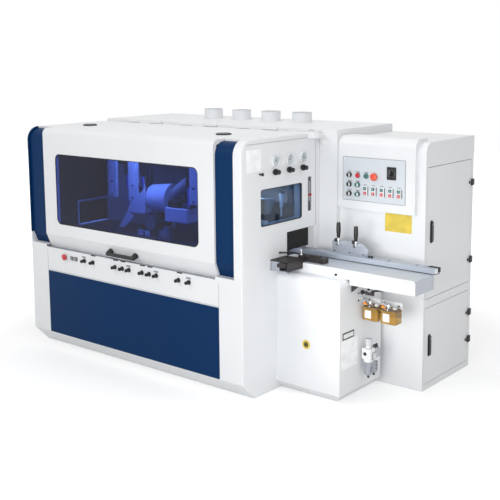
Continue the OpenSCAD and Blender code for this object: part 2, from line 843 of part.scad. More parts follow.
// Outer form of the cabinet, set in by d
module cabinet_solid(d) {
    r = cab_r - d;
    block([cab_x + d, cab_y + d, d], [cab_x1 - d, body_d - d, cab_h - cab_r]);
    block([cab_x + d, cab_y + cab_r, d], [cab_x1 - d, body_d - d, cab_h - d]);
    rod_x(cab_x + d, cab_x1 - d, cab_y + cab_r, cab_h - cab_r, r);
}

// Electrical cabinet with two door openings, a shelf, the switchgear panel and the fixed hinge leaves
module electrical_cabinet() color("whitesmoke") machine() {
    difference() {
        cabinet_solid(0);
        cabinet_solid(sheet);
        door_opening(low_door_z, low_door_h);
        door_opening(top_door_z, top_door_h);
    }
    block([cab_x + sheet, cab_y + sheet, top_door_z - 6 * sheet],
          [cab_x1 - sheet, body_d - sheet, top_door_z - 5 * sheet]);
    switchgear();
    for (z = hinge_zs(low_door_z, low_door_h)) fixed_leaf(z);
    for (z = hinge_zs(top_door_z, top_door_h)) fixed_leaf(z);
}

// The hole in the cabinet's side that a door fills
module door_opening(z, h) {
    block([cab_x1 - sheet - cut, door_y0 - door_gap, z - door_gap],
          [cab_x1 + cut, door_y1 + door_gap, z + h + door_gap]);
}

// Heights of a door's two hinges
function hinge_zs(z, h) = [z + hinge_in - hinge_h / 2, z + h - hinge_in - hinge_h / 2];

// Hinge leaf on the cabinet: two knuckles and the pin
module fixed_leaf(z) {
    for (s = [0, 2]) translate([0, 0, z + s * hinge_h / 3]) {
        rod_z(0, hinge_h / 3 - 0.5, pivot_x, pivot_y, hinge_r);
        block([cab_x1, pivot_y, 0], [pivot_x, body_d - sheet, hinge_h / 3 - 0.5]);
    }
    rod_z(z, z + hinge_h - 0.5, pivot_x, pivot_y, hinge_r / 2);
}

// Hinge leaf on a door: the middle knuckle, bored for the pin
module door_leaf(z) difference() {
    union() {
        rod_z(z + hinge_h / 3, z + 2 * hinge_h / 3 - 0.5, pivot_x, pivot_y, hinge_r);
        block([cab_x1 - cut, door_y1 - 5 * hinge_r, z + hinge_h / 3],
              [pivot_x, pivot_y - hinge_r / 2, z + 2 * hinge_h / 3 - 0.5]);
    }
    rod_z(z, z + hinge_h, pivot_x, pivot_y, hinge_r / 2 + run_gap);
}

// Mounting panel in the cabinet with three rows of contactors
module switchgear() {
    x0 = cab_x + sheet + slide_gap;
    x = x0 + gear_panel;
    z = top_door_z + gear_in;
    across = floor((door_y1 - door_y0 - 2 * gear_in) / gear_pitch);
    rows = floor((top_door_h - 2 * gear_in - gear_h) / gear_rows);
    block([x0, door_y0 + gear_in, z], [x, door_y1 - gear_in, top_door_z + top_door_h - gear_in]);
    for (i = [0 : rows - 1], j = [0 : across - 1])
        translate([x, door_y0 + gear_in + j * gear_pitch, z + gear_h + i * gear_rows])
            cube([gear_d, gear_w, gear_h]);
}

// A door: a sheet with its hinge leaves and the bore for its handle
module cabinet_door(z, h, latch_z) {
    difference() {
        block([cab_x1 - sheet, door_y0, z], [cab_x1, door_y1, z + h]);
        rod_x(cab_x1 - sheet - cut, cab_x1 + cut, door_y0 + latch_in, latch_z, latch_r + run_gap);
    }
    for (hz = hinge_zs(z, h)) door_leaf(hz);
}
module upper_door() color("whitesmoke") machine() cabinet_door(top_door_z, top_door_h, top_latch_z);
module lower_door() color("whitesmoke") machine() cabinet_door(low_door_z, low_door_h, low_latch_z);

// A door handle: shaft with a rose outside, a washer inside and a long grip that hangs down
module door_latch(z) {
    y = door_y0 + latch_in;
    over = latch_w / 2;
    rod_x(cab_x1 - 4 * sheet, cab_x1 + rose_t, y, z, latch_r);
    rod_x(cab_x1 - 3 * sheet, cab_x1 - sheet - 0.3, y, z, 2 * latch_r);
    rod_x(cab_x1 + 0.3, cab_x1 + rose_t, y, z, over);
    block([cab_x1 + rose_t, y - over, z + over - latch_l], [cab_x1 + rose_t + grip_t, y + over, z + over]);
}
module upper_latch() color("black") machine() door_latch(top_latch_z);
module lower_latch() color("black") machine() door_latch(low_latch_z);

// Outer form of the console, set in by d
module console_solid(d) {
    r = cons_r - d;
    block([cons_x + d, cons_y + d, cons_z + d], [cons_x1 - d, cab_y + cons_back - d, cons_top - cons_r]);
    block([cons_x + d, cons_y + cons_r, cons_z + d], [cons_x1 - d, cab_y + cons_back - d, cons_top - d]);
    rod_x(cons_x + d, cons_x1 - d, cons_y + cons_r, cons_top - cons_r, r);
}

// Bent console cover with the control plate and the collars of its switches
module control_console() color("gainsboro") machine() difference() {
    union() {
        difference() {
            console_solid(0);
            console_solid(cons_t);
            cabinet_solid(0);
        }
        block([plate_x, plate_y, plate_z], [plate_x + plate_w, cons_y, plate_z + plate_h]);
        for (p = concat(push_at, selector_at, [estop_at]))
            rod_y(plate_y - collar_h, plate_y, p[0], p[1], collar_r);
        translate([dial_at[0] - dial_plate[0] / 2, plate_y - dial_plate[2], dial_at[1] - dial_plate[1] / 2])
            cube([dial_plate[0], dial_plate[2], dial_plate[1]]);
    }
    for (p = push_at) control_bore(p, button_r);
    for (p = concat(selector_at, [estop_at, dial_at])) control_bore(p, button_r - 3);
}

// A bore through the plate and the console's front
module control_bore(p, r) {
    rod_y(plate_y - collar_h - dial_plate[2], cons_y + cons_t + cut, p[0], p[1], r + run_gap);
}

// A push button with a flange behind the console's front
module push_button(p) {
    rod_y(plate_y - collar_h - button_out, stem_back - travel, p[0], p[1], button_r);
    rod_y(cons_y + cons_t + 0.3, stem_back - travel, p[0], p[1], button_r + 1.5);
}

// A turning knob: stem, round base and a finger bar
module turn_knob(p, front, r, bar) {
    rod_y(front - knob_base, stem_back, p[0], p[1], button_r - 3);
    rod_y(front - knob_base, front - 0.3, p[0], p[1], r);
    block([p[0] - bar / 2, front - knob_base - knob_t, p[1] - r],
          [p[0] + bar / 2, front - knob_base, p[1] + r]);
}

// An emergency stop: a mushroom head on a stem
module mushroom(x, z, front, back, stem) {
    rod_y(front, back, x, z, stem);
    rod_y(front, front + mushroom_t, x, z, mushroom_r);
}
module console_estop() color("red") machine()
    mushroom(estop_at[0], estop_at[1], plate_y - collar_h - travel - 1 - mushroom_t, stem_back - travel,
             button_r - 3);
module strip_estop() color("red") machine()
    mushroom(-stop_x, control_z, -stop_out, base_wall + 2 * travel, button_r);
module console_stop() color("red") machine() push_button(stop_at);
module console_start() color("green") machine() push_button(start_at);
module motor_start(i) color("green") machine() push_button([motor_xs[i - 1], start_z]);
module motor_stop(i) color("red") machine() push_button([motor_xs[i - 1], stop_z]);
module selector(i) color("black") machine()
    turn_knob(selector_at[i - 1], plate_y - collar_h, button_r, 7);
module speed_dial() color("black") machine() turn_knob(dial_at, plate_y - dial_plate[2], dial_r, 9);

// Infeed table with a deep apron past the pedestal, hollow underneath, and the side guide's bracket
module infeed_table() color("silver") machine() {
    difference() {
        union() {
            block([0, table_y, ped_h], [table_l, table_back, table_h]);
            block([ped_l + sheet, table_y, table_h - apron_h], [table_l, table_back, table_h]);
        }
        block([ped_l + sheet + table_wall, table_y + table_wall, table_h - apron_h - cut],
              [table_l - table_wall, table_back - table_wall, table_h - 2 * table_wall]);
        block([table_wall, table_y + table_wall, ped_h - cut],
              [ped_l - table_wall, table_back - table_wall, table_h - 2 * table_wall]);
    }
    guide_bracket();
}

// Channel bracket beside the table that the side guide's arm slides in
module guide_bracket() difference() {
    block([0, channel_y, arm_z - channel_drop],
          [arm_x + arm_w + channel_t, channel_y + channel_d, arm_z + arm_t + channel_t]);
    block([arm_x - slide_gap, channel_y - cut, arm_z - slide_gap],
          [arm_x + arm_w + slide_gap, channel_y + channel_d + cut, arm_z + arm_t + slide_gap]);
    block([channel_t, channel_y - cut, arm_z - channel_drop + channel_t],
          [arm_x - channel_t, channel_y + channel_d + cut, arm_z + arm_t]);
}

// Side guide: an arm in the channel, a long shoe that holds timber to the fence and its screw
module side_guide() color("dimgray") machine() {
    screw_r = arm_w / 7;
    block([arm_x, arm_y, arm_z], [arm_x + arm_w, shoe_y + shoe_w / 2, arm_z + arm_t]);
    block([arm_x - shoe_over, shoe_y, arm_z], [arm_x - shoe_over + shoe_l, shoe_y + shoe_w, arm_z + shoe_h]);
    rod_z(arm_z + arm_t, arm_z + 2 * arm_t, arm_x + arm_w / 2, shoe_y - 2 * screw_r, screw_r);
}

// Fence along the table with the bracket of the clamp levers
module infeed_fence() color("silver") machine() {
    difference() {
        block([-fence_in, fence_y, table_h], [fence_x1, fence_y + fence_t, table_h + fence_h]);
        block([-fence_in - cut, fence_y - cut, table_h - cut],
              [fence_x1 + cut, fence_y + fence_groove, table_h + fence_groove]);
    }
    difference() {
        along_y(lever_y, lever_y + bracket_t) translate([bracket_x, table_h + fence_h])
            polygon([[0, 0], [bracket_l, 0], [bracket_l + 15, bracket_h / 2],
                     [bracket_l - bracket_h / 2, bracket_h],
                     [bracket_h / 8, bracket_h], [0, bracket_h - bracket_h / 8]]);
        for (i = [0, 1])
            rod_y(lever_y - cut, lever_y + bracket_t + cut, lever_x(i), lever_z, lever_r + run_gap);
    }
    block([bracket_x, foot_y, table_h + fence_h],
          [bracket_x + bracket_l, lever_y, table_h + fence_h + bracket_t]);
}
function lever_x(i) = bracket_x + lever_in + i * lever_pitch;

// A clamp lever: screw, hub, arm and a tapered grip
module clamp_lever(i) color("black") machine() {
    x = lever_x(i - 1);
    y = lever_y - hub_t / 2;
    rod_y(lever_y - hub_t, lever_y + bracket_t + 6, x, lever_z, lever_r);
    rod_y(lever_y - hub_t, lever_y - 0.3, x, lever_z, 2.4 * lever_r);
    rod_y(lever_y + bracket_t + 0.3, lever_y + bracket_t + 6, x, lever_z, 2 * lever_r);
    rod_z(lever_z, lever_z + lever_h, x, y, lever_r + 1);
    translate([x, y, lever_z + lever_h])
        rotate_extrude() polygon([[0, 0], [0.75 * grip_r, 0], [grip_r, 0.6 * grip_l],
                                  [0.7 * grip_r, grip_l], [0, grip_l]]);
}

// Two oil lubricators: a back plate on the pedestal's side, reservoirs, lids and pump levers
module lubricators() color("goldenrod") machine() {
    x0 = ped_l + lub_x;
    top = lub_z + lub_h;
    block([ped_l, lub_y - lub_foot, top - lub_foot / 2], [ped_l + lub_t, lub_y + lub_foot, top + lub_top]);
    block([ped_l, lub_y, lub_z + lub_h / 3],
          [x0 + lub_pitch + lub_w + lub_x, lub_y + lub_t, top + lub_top]);
    for (i = [0, 1]) translate([x0 + i * lub_pitch, lub_y - lub_d, lub_z]) {
        cube([lub_w, lub_d, lub_h]);
        translate([lid_in, lid_in, lub_h]) cube([lub_w - 2 * lid_in, lub_d - lid_in, lid_h]);
        rod_z(lub_h + lid_h, lub_h + lid_h + pump_h, 2 * pump_r, lub_d / 2, pump_r);
        translate([pump_r, lub_d / 2 - pump_r, lub_h + lid_h + pump_h]) cube([pump_l, 2 * pump_r, pump_r]);
    }
}

// Air filter and lubricator on the pedestal's side: bracket, two bodies and two bowls
module air_unit() color("silver") machine() {
    x0 = ped_l + air_off;
    xc = x0 + air_w / 2;
    block([ped_l, air_y - air_w / 2, air_z + air_h / 3], [x0, air_y + 1.5 * air_w, air_z + 0.75 * air_h]);
    difference() {
        block([x0, air_y - air_w / 2, air_z], [x0 + air_w, air_y + air_w / 2, air_z + air_h]);
        rod_z(air_z + air_h / 2, air_z + air_h + cut, xc, air_y, stem_r + run_gap);
    }
    block([x0, air_y + air_w / 2, air_z], [x0 + air_w, air_y + 1.5 * air_w, air_z + air_h]);
    for (y = [air_y, air_y + air_w]) {
        rod_z(air_z - bowl_l, air_z, xc, y, bowl_r);
        rod_z(air_z - bowl_l - drain_l, air_z - bowl_l, xc, y, drain_r);
    }
}

// Knob that sets the air unit's pressure
module air_unit_knob() color("black") machine() {
    xc = ped_l + air_off + air_w / 2;
    top = air_z + air_h;
    rod_z(top - air_h / 3, top + air_knob_h, xc, air_y, stem_r);
    rod_z(top + 0.3, top + air_knob_h, xc, air_y, air_knob_r);
}

// Three pressure gauges on the infeed end
module gauges() color("white") machine() for (y = gauge_ys) rod_x(0, gauge_t, y, gauge_z, gauge_r);

// A knob on a stem through the infeed end's skin
module end_knob(y, r) {
    rod_x(-5 * sheet, regulator_l, y, regulator_z, stem_r);
    rod_x(0.3, regulator_l, y, regulator_z, r);
}
module regulator_knob(i) color("black") machine() end_knob(gauge_ys[i - 1], regulator_r);
module air_valve_knob() color("black") machine() end_knob(valve_y, valve_r);

// Cast bed with slots for the cutters and the posts that carry the feed beam
module machine_bed() color("gray") machine() {
    difference() {
        block([bed_x0, bed_y, base_top], [bed_x1, bed_y1, table_h]);
        cutter_slot(base_top, table_h, bed_y1 + cut);
        for (p = [[right_x, right_axis_y], [left_x, left_axis_y]])
            rod_z(base_top - cut, table_h + cut, -p[0], p[1], shaft_r + shaft_free);
        for (p = [[bed_x0 + bed_wall, -left_x - cutter_r],
                  [-right_x + cutter_r, -bottom_x - cutter_r - bed_wall]])
            block([p[0], bed_y + bed_wall, base_top - cut], [p[1], bed_y1 - bed_wall, table_h - bed_wall]);
    }
    for (x = post_x) rod_z(table_h, table_h + post_h, x, beam_mid, post_r);
}

// Motor housings that carry the spindles: two on the base's rear, two under its top plate
module spindle_motors() color("slategray") machine() {
    difference() {
        union() {
            horizontal_motor(-bottom_x, low_axis_z, low_axis_z - base_top);
            horizontal_motor(-top_x, top_axis_z, motor_r);
        }
        for (p = [[-bottom_x, low_axis_z], [-top_x, top_axis_z]])
            rod_y(bed_y1, shaft_end + cut, p[0], p[1], shaft_r + run_gap);
    }
    difference() {
        for (p = [[right_x, right_axis_y], [left_x, left_axis_y]])
            rod_z(base_top - base_wall - motor_l, base_top - base_wall, -p[0], p[1], motor_r);
        for (p = [[right_x, right_axis_y], [left_x, left_axis_y]])
            rod_z(base_top - motor_l - 2 * base_wall, base_top, -p[0], p[1], shaft_r + run_gap);
    }
}

// A motor with its axis along Y on a foot that stands on the base
module horizontal_motor(x, z, r) {
    rod_y(motor_y, shaft_end, x, z, r);
    block([x - 0.7 * r, motor_y, base_top], [x + 0.7 * r, shaft_end, z]);
}

// A horizontal spindle: cutter block and shaft
module spindle_y(x, z) {
    rod_y(feed_mid - cutter_w / 2, feed_mid + cutter_w / 2, x, z, cutter_r);
    rod_y(feed_mid, shaft_end, x, z, shaft_r);
}

// A vertical spindle: cutter block and shaft
module spindle_z(x, y) {
    rod_z(table_h + 1, table_h + cutter_h, x, y, cutter_r);
    rod_z(base_top - base_wall - motor_l, table_h + cutter_h + shaft_out, x, y, shaft_r);
}
module bottom_spindle() color("silver") machine() spindle_y(-bottom_x, low_axis_z);
module top_spindle() color("silver") machine() spindle_y(-top_x, top_axis_z);
module right_spindle() color("silver") machine() spindle_z(-right_x, right_axis_y);
module left_spindle() color("silver") machine() spindle_z(-left_x, left_axis_y);

// Feed beam on its posts, with the roller hangers and the thickness pointer
module feed_beam() color("steelblue") machine() {
    difference() {
        union() {
            block([beam_x0, beam_y0, beam_z], [beam_x1, beam_y1, beam_z + beam_h]);
            for (x = roller_x)
                block([-x - hanger_w / 2, beam_y0, roller_z - 2.5 * roller_shaft_r],
                      [-x + hanger_w / 2, beam_y1, beam_z]);
        }
        for (x = post_x) rod_z(beam_z - cut, beam_z + beam_h + cut, x, beam_mid, post_r + run_gap);
        for (x = roller_x) rod_y(beam_y0 - cut, beam_y1 + cut, -x, roller_z, roller_shaft_r + run_gap);
    }
    block([beam_x1 - 16, pointer_y - 12, beam_z + beam_h], [beam_x1 - 4, pointer_y + 12, pointer_z + 14]);
    rod_x(beam_x1 - 16, 4 * pointer_r, pointer_y, pointer_z, pointer_r);
}

// A driven feed roller on its shaft
module feed_roller(i) color("darkslategray") machine() {
    x = -roller_x[i - 1];
    rod_y(feed_mid - roller_w / 2, feed_mid + roller_w / 2, x, roller_z, roller_r);
    rod_y(feed_mid, beam_y1 + 10, x, roller_z, roller_shaft_r);
}

// Adjusters of the spindles and the two small switches on the front strip
module strip_adjusters() color("black") machine() {
    for (x = adjuster_x) {
        rod_y(-4, 0, -x, control_z, 1.4 * adjuster_r);
        rod_y(-adjuster_l, 0, -x, control_z, adjuster_r);
    }
    for (x = switch_x) block([-x - 11, -8, control_z - 9], [-x + 11, 0, control_z + 9]);
}

// Lift-up hood: a bent sheet with side flanges, a window opening and hinge knuckles
module hood() color("whitesmoke") machine() difference() {
    union() {
        hood_sheet(hood_x0, hood_x1, sheet, hinge_y + knuckle_r);
        for (x = [hood_x0, hood_x1 - sheet]) hood_sheet(x, x + sheet, hood_flange, hinge_y - knuckle_r);
        for (x = knuckle_x) {
            rod_x(x - knuckle_l / 2, x + knuckle_l / 2, hinge_y, hinge_z, knuckle_r);
            block([x - knuckle_l / 2, hinge_y - knuckle_r, hood_top - sheet],
                  [x + knuckle_l / 2, hinge_y, hinge_z]);
        }
    }
    along_y(-cut, sheet + cut)
        round_rect(hood_mid - window_l / 2, hood_mid + window_l / 2, window_z, window_z + window_h, window_r);
    for (x = knuckle_x) rod_x(x - knuckle_l, x + knuckle_l, hinge_y, hinge_z, hinge_pin_r + run_gap);
    for (x = knuckle_x, s = [-1, 1])
        block([x + s * knuckle_l - knuckle_l / 2, hinge_y - knuckle_r - 1, hood_top],
              [x + s * knuckle_l + knuckle_l / 2, roof_y, hood_top + hood_drop]);
}

// Tinted pane behind the hood's sheet
module hood_window() color("navy", 0.7) machine()
    along_y(sheet, sheet + pane_t)
        round_rect(hood_mid - window_l / 2 - pane_lap, hood_mid + window_l / 2 + pane_lap,
                   window_z - pane_lap, window_z + window_h + pane_lap, window_r);

// Bow handle on the hood's slope
module hood_handle() color("black") machine()
    translate([hood_mid + handle_x, lip_y, lip_z]) rotate([slope_a, 0, 0]) translate([0, 0, handle_s]) {
        rod_x(-handle_l / 2, handle_l / 2, -handle_off, 0, handle_r);
        for (s = [-1, 1]) rod_y(-handle_off, 0, s * (handle_l / 2 - handle_r), 0, handle_r);
        for (s = [-1, 1]) rod_y(-boss_r, 0, s * (handle_l / 2 - handle_r), 0, boss_r);
        for (s = [-1, 1]) translate([s * handle_l / 2, -handle_off, 0]) sphere(handle_r);
    }

base_cabinet();
blue_panels();
infeed_end_plate();
enclosure_frame();
rear_housing();
dust_spouts();
end_window();
infeed_pedestal();
electrical_cabinet();
control_console();
infeed_table();
infeed_fence();
lubricators();
air_unit();
gauges();
machine_bed();
spindle_motors();
strip_adjusters();
hood();
hood_window();
hood_handle();
upper_door();
upper_latch();
lower_door();
lower_latch();
clamp_lever(1);  // clamp_lever_1
clamp_lever(2);  // clamp_lever_2
air_unit_knob();
regulator_knob(1);  // regulator_knob_1
regulator_knob(2);  // regulator_knob_2
regulator_knob(3);  // regulator_knob_3
air_valve_knob();
side_guide();
feed_beam();
bottom_spindle();
right_spindle();
left_spindle();
top_spindle();
feed_roller(1);  // feed_roller_1
feed_roller(2);  // feed_roller_2
strip_estop();
console_estop();
console_stop();
console_start();
speed_dial();
for (i = [1 : SELECTORS]) selector(i);
for (i = [1 : MOTORS]) motor_start(i);
for (i = [1 : MOTORS]) motor_stop(i);
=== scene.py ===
import math

import bmesh
import bpy
from mathutils import Matrix, Vector


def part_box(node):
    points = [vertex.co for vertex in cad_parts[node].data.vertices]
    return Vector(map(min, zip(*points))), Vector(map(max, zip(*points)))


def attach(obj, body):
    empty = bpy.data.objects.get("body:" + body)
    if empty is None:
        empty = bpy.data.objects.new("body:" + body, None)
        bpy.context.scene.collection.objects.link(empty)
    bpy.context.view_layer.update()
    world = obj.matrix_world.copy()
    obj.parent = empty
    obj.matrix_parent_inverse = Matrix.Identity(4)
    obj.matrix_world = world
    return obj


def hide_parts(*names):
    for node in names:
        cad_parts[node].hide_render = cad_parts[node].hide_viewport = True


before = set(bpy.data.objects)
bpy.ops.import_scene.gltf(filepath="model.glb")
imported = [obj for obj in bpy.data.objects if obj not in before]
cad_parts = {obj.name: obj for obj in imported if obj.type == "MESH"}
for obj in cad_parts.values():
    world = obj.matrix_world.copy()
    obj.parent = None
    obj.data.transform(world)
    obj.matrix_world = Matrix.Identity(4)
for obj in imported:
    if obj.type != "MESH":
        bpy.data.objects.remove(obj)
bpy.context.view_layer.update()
print("frame loaded:", len(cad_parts), "nodes")

# Drawing places are millimetres from the infeed end's outer face, the front face and the floor
drawingOrigin = Vector((562.5, -760.0, 0.0))


def toFrame(p):
    return (Vector(p) + drawingOrigin) * 0.001


def span(node):  # a CAD node's box in drawing millimetres
    lo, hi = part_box(node)
    return lo * 1000 - drawingOrigin, hi * 1000 - drawingOrigin


def middle(node):
    lo, hi = span(node)
    return (lo + hi) / 2


upward, frontward, rearward, endward = (0, 0, 1), (0, -1, 0), (0, 1, 0), (1, 0, 0)  # axes of the turned parts


# Mesh helpers, all in drawing millimetres
def boxPart(lo, hi, edge=1.5, steps=2):
    bm = bmesh.new()
    bmesh.ops.create_cube(bm, size=1.0)
    lo, hi = Vector(lo), Vector(hi)
    size = hi - lo
    for v in bm.verts:
        v.co = Vector([lo[i] + (v.co[i] + 0.5) * size[i] for i in range(3)])
    if edge:
        edge = min(edge, 0.45 * min(size))
        bmesh.ops.bevel(bm, geom=bm.edges[:], offset=edge, segments=steps, profile=0.5, affect="EDGES")
    return bm


def axisFrame(axis):
    w = Vector(axis).normalized()
    u = Vector((0, 0, 1)) if abs(w.z) < 0.9 else Vector((1, 0, 0))
    u = (u - w * u.dot(w)).normalized()
    return u, w.cross(u), w


def lathePart(profile, origin, axis, around=40):
    # profile is (radius, distance along the axis); radius 0 closes an end
    bm = bmesh.new()
    u, v, w = axisFrame(axis)
    origin = Vector(origin)
    rings = []
    for r, d in profile:
        if r < 1e-6:
            rings.append([bm.verts.new(origin + w * d)])
        else:
            rings.append([bm.verts.new(origin + w * d + (u * math.cos(a) + v * math.sin(a)) * r)
                          for a in (2 * math.pi * i / around for i in range(around))])
    for a, b in zip(rings, rings[1:]):
        for i in range(around):
            j = (i + 1) % around
            if len(a) == 1 and len(b) > 1:
                bm.faces.new((a[0], b[j], b[i]))
            elif len(b) == 1 and len(a) > 1:
                bm.faces.new((a[i], a[j], b[0]))
            elif len(a) > 1:
                bm.faces.new((a[i], a[j], b[j], b[i]))
    bmesh.ops.recalc_face_normals(bm, faces=bm.faces[:])
    return bm


def rodPart(origin, axis, radius, length, around=24):
    return lathePart([(0, 0), (radius, 0), (radius, length), (0, length)], origin, axis, around)


def smoothPath(points, perSpan=8):  # a curve through the points
    pts = [Vector(p) for p in points]
    out = []
    for i in range(len(pts) - 1):
        p0, p1, p2, p3 = pts[max(i - 1, 0)], pts[i], pts[i + 1], pts[min(i + 2, len(pts) - 1)]
        for k in range(perSpan):
            t = k / perSpan
            out.append(0.5 * (2 * p1 + (p2 - p0) * t + (2 * p0 - 5 * p1 + 4 * p2 - p3) * t * t
                              + (3 * p1 - p0 - 3 * p2 + p3) * t ** 3))
    return out + [pts[-1]]


def sweepPart(path, radius, around=16):
    # radius is one number, or a list with one for each point of the path
    bm = bmesh.new()
    path = [Vector(p) for p in path]
    radii = radius if isinstance(radius, list) else [radius] * len(path)
    u = None
    rings = []
    for i, p in enumerate(path):
        t = (path[min(i + 1, len(path) - 1)] - path[max(i - 1, 0)]).normalized()
        u = axisFrame(t)[0] if u is None else (u - t * u.dot(t)).normalized()
        v = t.cross(u)
        rings.append([bm.verts.new(p + (u * math.cos(a) + v * math.sin(a)) * radii[i])
                      for a in (2 * math.pi * k / around for k in range(around))])
    for a, b in zip(rings, rings[1:]):
        for i in range(around):
            j = (i + 1) % around
            bm.faces.new((a[i], a[j], b[j], b[i]))
    bm.faces.new(rings[0])
    bm.faces.new(rings[-1])
    bmesh.ops.recalc_face_normals(bm, faces=bm.faces[:])
    return bm


def lift(plane, a, b, d):  # outline point (a, b) at depth d on a plane across x, y or z
    return {"x": (d, a, b), "y": (a, d, b), "z": (a, b, d)}[plane]


def platePart(outline, plane, d0, d1, edge=0.0, steps=3, bothSides=True):
    # edge rounds the outline's rim at d1, and at d0 too if bothSides
    bm = bmesh.new()
    low = [bm.verts.new(lift(plane, a, b, d0)) for a, b in outline]
    high = [bm.verts.new(lift(plane, a, b, d1)) for a, b in outline]
    n = len(outline)
    bm.faces.new(low)
    bm.faces.new(high)
    for i in range(n):
        j = (i + 1) % n
        bm.faces.new((low[i], low[j], high[j], high[i]))
    bmesh.ops.recalc_face_normals(bm, faces=bm.faces[:])
    if edge:
        highSet, lowSet = set(high), set(low)
        rim = [e for e in bm.edges if all(v in highSet for v in e.verts)
               or bothSides and all(v in lowSet for v in e.verts)]
        bmesh.ops.bevel(bm, geom=rim, offset=edge, segments=steps, profile=0.5, affect="EDGES")
    return bm


def roundOutline(a0, a1, b0, b1, r, steps=8):
    out = []
    for ca, cb, start in ((a1 - r, b1 - r, 0), (a0 + r, b1 - r, 90), (a0 + r, b0 + r, 180),
                          (a1 - r, b0 + r, 270)):
        for k in range(steps + 1):
            t = math.radians(start + 90 * k / steps)
            out.append((ca + r * math.cos(t), cb + r * math.sin(t)))
    return out


def meshFrom(bm):
    me = bpy.data.meshes.new("part")
    bm.to_mesh(me)
    bm.free()
    return me


def carve(bm, cutters):  # cuts the cutters out of a part
    base = bpy.data.objects.new("base", meshFrom(bm))
    bpy.context.scene.collection.objects.link(base)
    spare = [base]
    for c in cutters:
        o = bpy.data.objects.new("cutter", meshFrom(c))
        bpy.context.scene.collection.objects.link(o)
        spare.append(o)
        m = base.modifiers.new("cut", "BOOLEAN")
        m.operation, m.solver, m.object = "DIFFERENCE", "EXACT", o
    bpy.context.view_layer.update()
    done = bmesh.new()
    done.from_object(base, bpy.context.evaluated_depsgraph_get())
    for o in spare:
        me = o.data
        bpy.data.objects.remove(o)
        bpy.data.meshes.remove(me)
    return done


def ringPart(lo, hi, outer, inner, plane, d0, d1, cut, edge=0.0):
    # flat ring round an opening, from d0 to d1; outer and inner are how far each outline stands outside
    # lo and hi, and its corner radius, and cut is where the cutter starts and ends
    whole, hole = [roundOutline(lo[0] - grow, hi[0] + grow, lo[1] - grow, hi[1] + grow, r)
                   for grow, r in (outer, inner)]
    return carve(platePart(whole, plane, d0, d1, edge, 2, False), [platePart(hole, plane, *cut)])


def cornerArc(front, top, r, steps):  # a round front corner at the top of an outline across x
    turns = [math.radians(90 / steps * i) for i in range(steps + 1)]
    return [(front + r * (1 - math.cos(t)), top - r * (1 - math.sin(t))) for t in turns]


def flutedOutline(a, b, r, groove, teeth):  # a knob's outline, with a groove between its teeth
    turns = [math.pi * k / teeth for k in range(2 * teeth)]
    return [(a + (r - groove * (k % 2)) * math.cos(t), b + (r - groove * (k % 2)) * math.sin(t))
            for k, t in enumerate(turns)]


def piece(name, parts, body="machine", replaces=(), sharp=32):
    # parts are (mesh part, material); one object with one material slot for each finish
    me = bpy.data.meshes.new(name)
    whole = bmesh.new()
    finishes = []
    for bm, material in parts:
        if material not in finishes:
            finishes.append(material)
        index = finishes.index(material)
        part = meshFrom(bm)
        before = len(whole.faces)
        whole.from_mesh(part)
        bpy.data.meshes.remove(part)
        whole.faces.ensure_lookup_table()
        for f in whole.faces[before:]:
            f.material_index = index
    for v in whole.verts:
        v.co = toFrame(v.co)
    whole.to_mesh(me)
    whole.free()
    for m in finishes:
        me.materials.append(m)
    me.polygons.foreach_set("use_smooth", [True] * len(me.polygons))
    me.set_sharp_from_angle(angle=math.radians(sharp))
    o = bpy.data.objects.new(name, me)
    bpy.context.scene.collection.objects.link(o)
    even = o.modifiers.new("even", "WEIGHTED_NORMAL")
    even.keep_sharp = True
    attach(o, body)
    if replaces:
        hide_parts(*([replaces] if isinstance(replaces, str) else replaces))
    return o


# Materials
def linear(code):  # sRGB hex to linear
    code = code.lstrip("#")
    c = [int(code[i:i + 2], 16) / 255 for i in (0, 2, 4)]
    return tuple(x / 12.92 if x <= 0.04045 else ((x + 0.055) / 1.055) ** 2.4 for x in c) + (1.0,)


def add(tree, kind, links=(), **settings):
    # links are (input, output socket) pairs; settings are node properties or input values
    n = tree.nodes.new(kind)
    for key, value in settings.items():
        if hasattr(n, key):
            setattr(n, key, value)
        else:
            n.inputs[key.replace("_", " ")].default_value = value
    for key, socket in links:
        tree.links.new(socket, n.inputs[key])
    return n


def startMaterial(name):
    m = bpy.data.materials.new(name)
    m.use_nodes = True
    tree = m.node_tree
    shader = tree.nodes["Principled BSDF"]
    return m, tree, shader


def setShader(shader, **values):
    for key, value in values.items():
        shader.inputs[key.replace("_", " ")].default_value = value


def shadeBy(tree, shader, value, reach, code, tone, gloss=None):
    # one noise varies the colour's tone, and the gloss if that is given; reach is the noise's low and high
    places = {"From_Min": reach[0], "From_Max": reach[1]}
    shade = add(tree, "ShaderNodeMapRange", [("Value", value)], To_Min=tone[0], To_Max=tone[1], **places)
    base = add(tree, "ShaderNodeHueSaturation", [("Value", shade.outputs["Result"])], Color=linear(code))
    tree.links.new(base.outputs["Color"], shader.inputs["Base Color"])
    if gloss:
        dull = add(tree, "ShaderNodeMapRange", [("Value", value)], To_Min=gloss[0], To_Max=gloss[1], **places)
        tree.links.new(dull.outputs["Result"], shader.inputs["Roughness"])


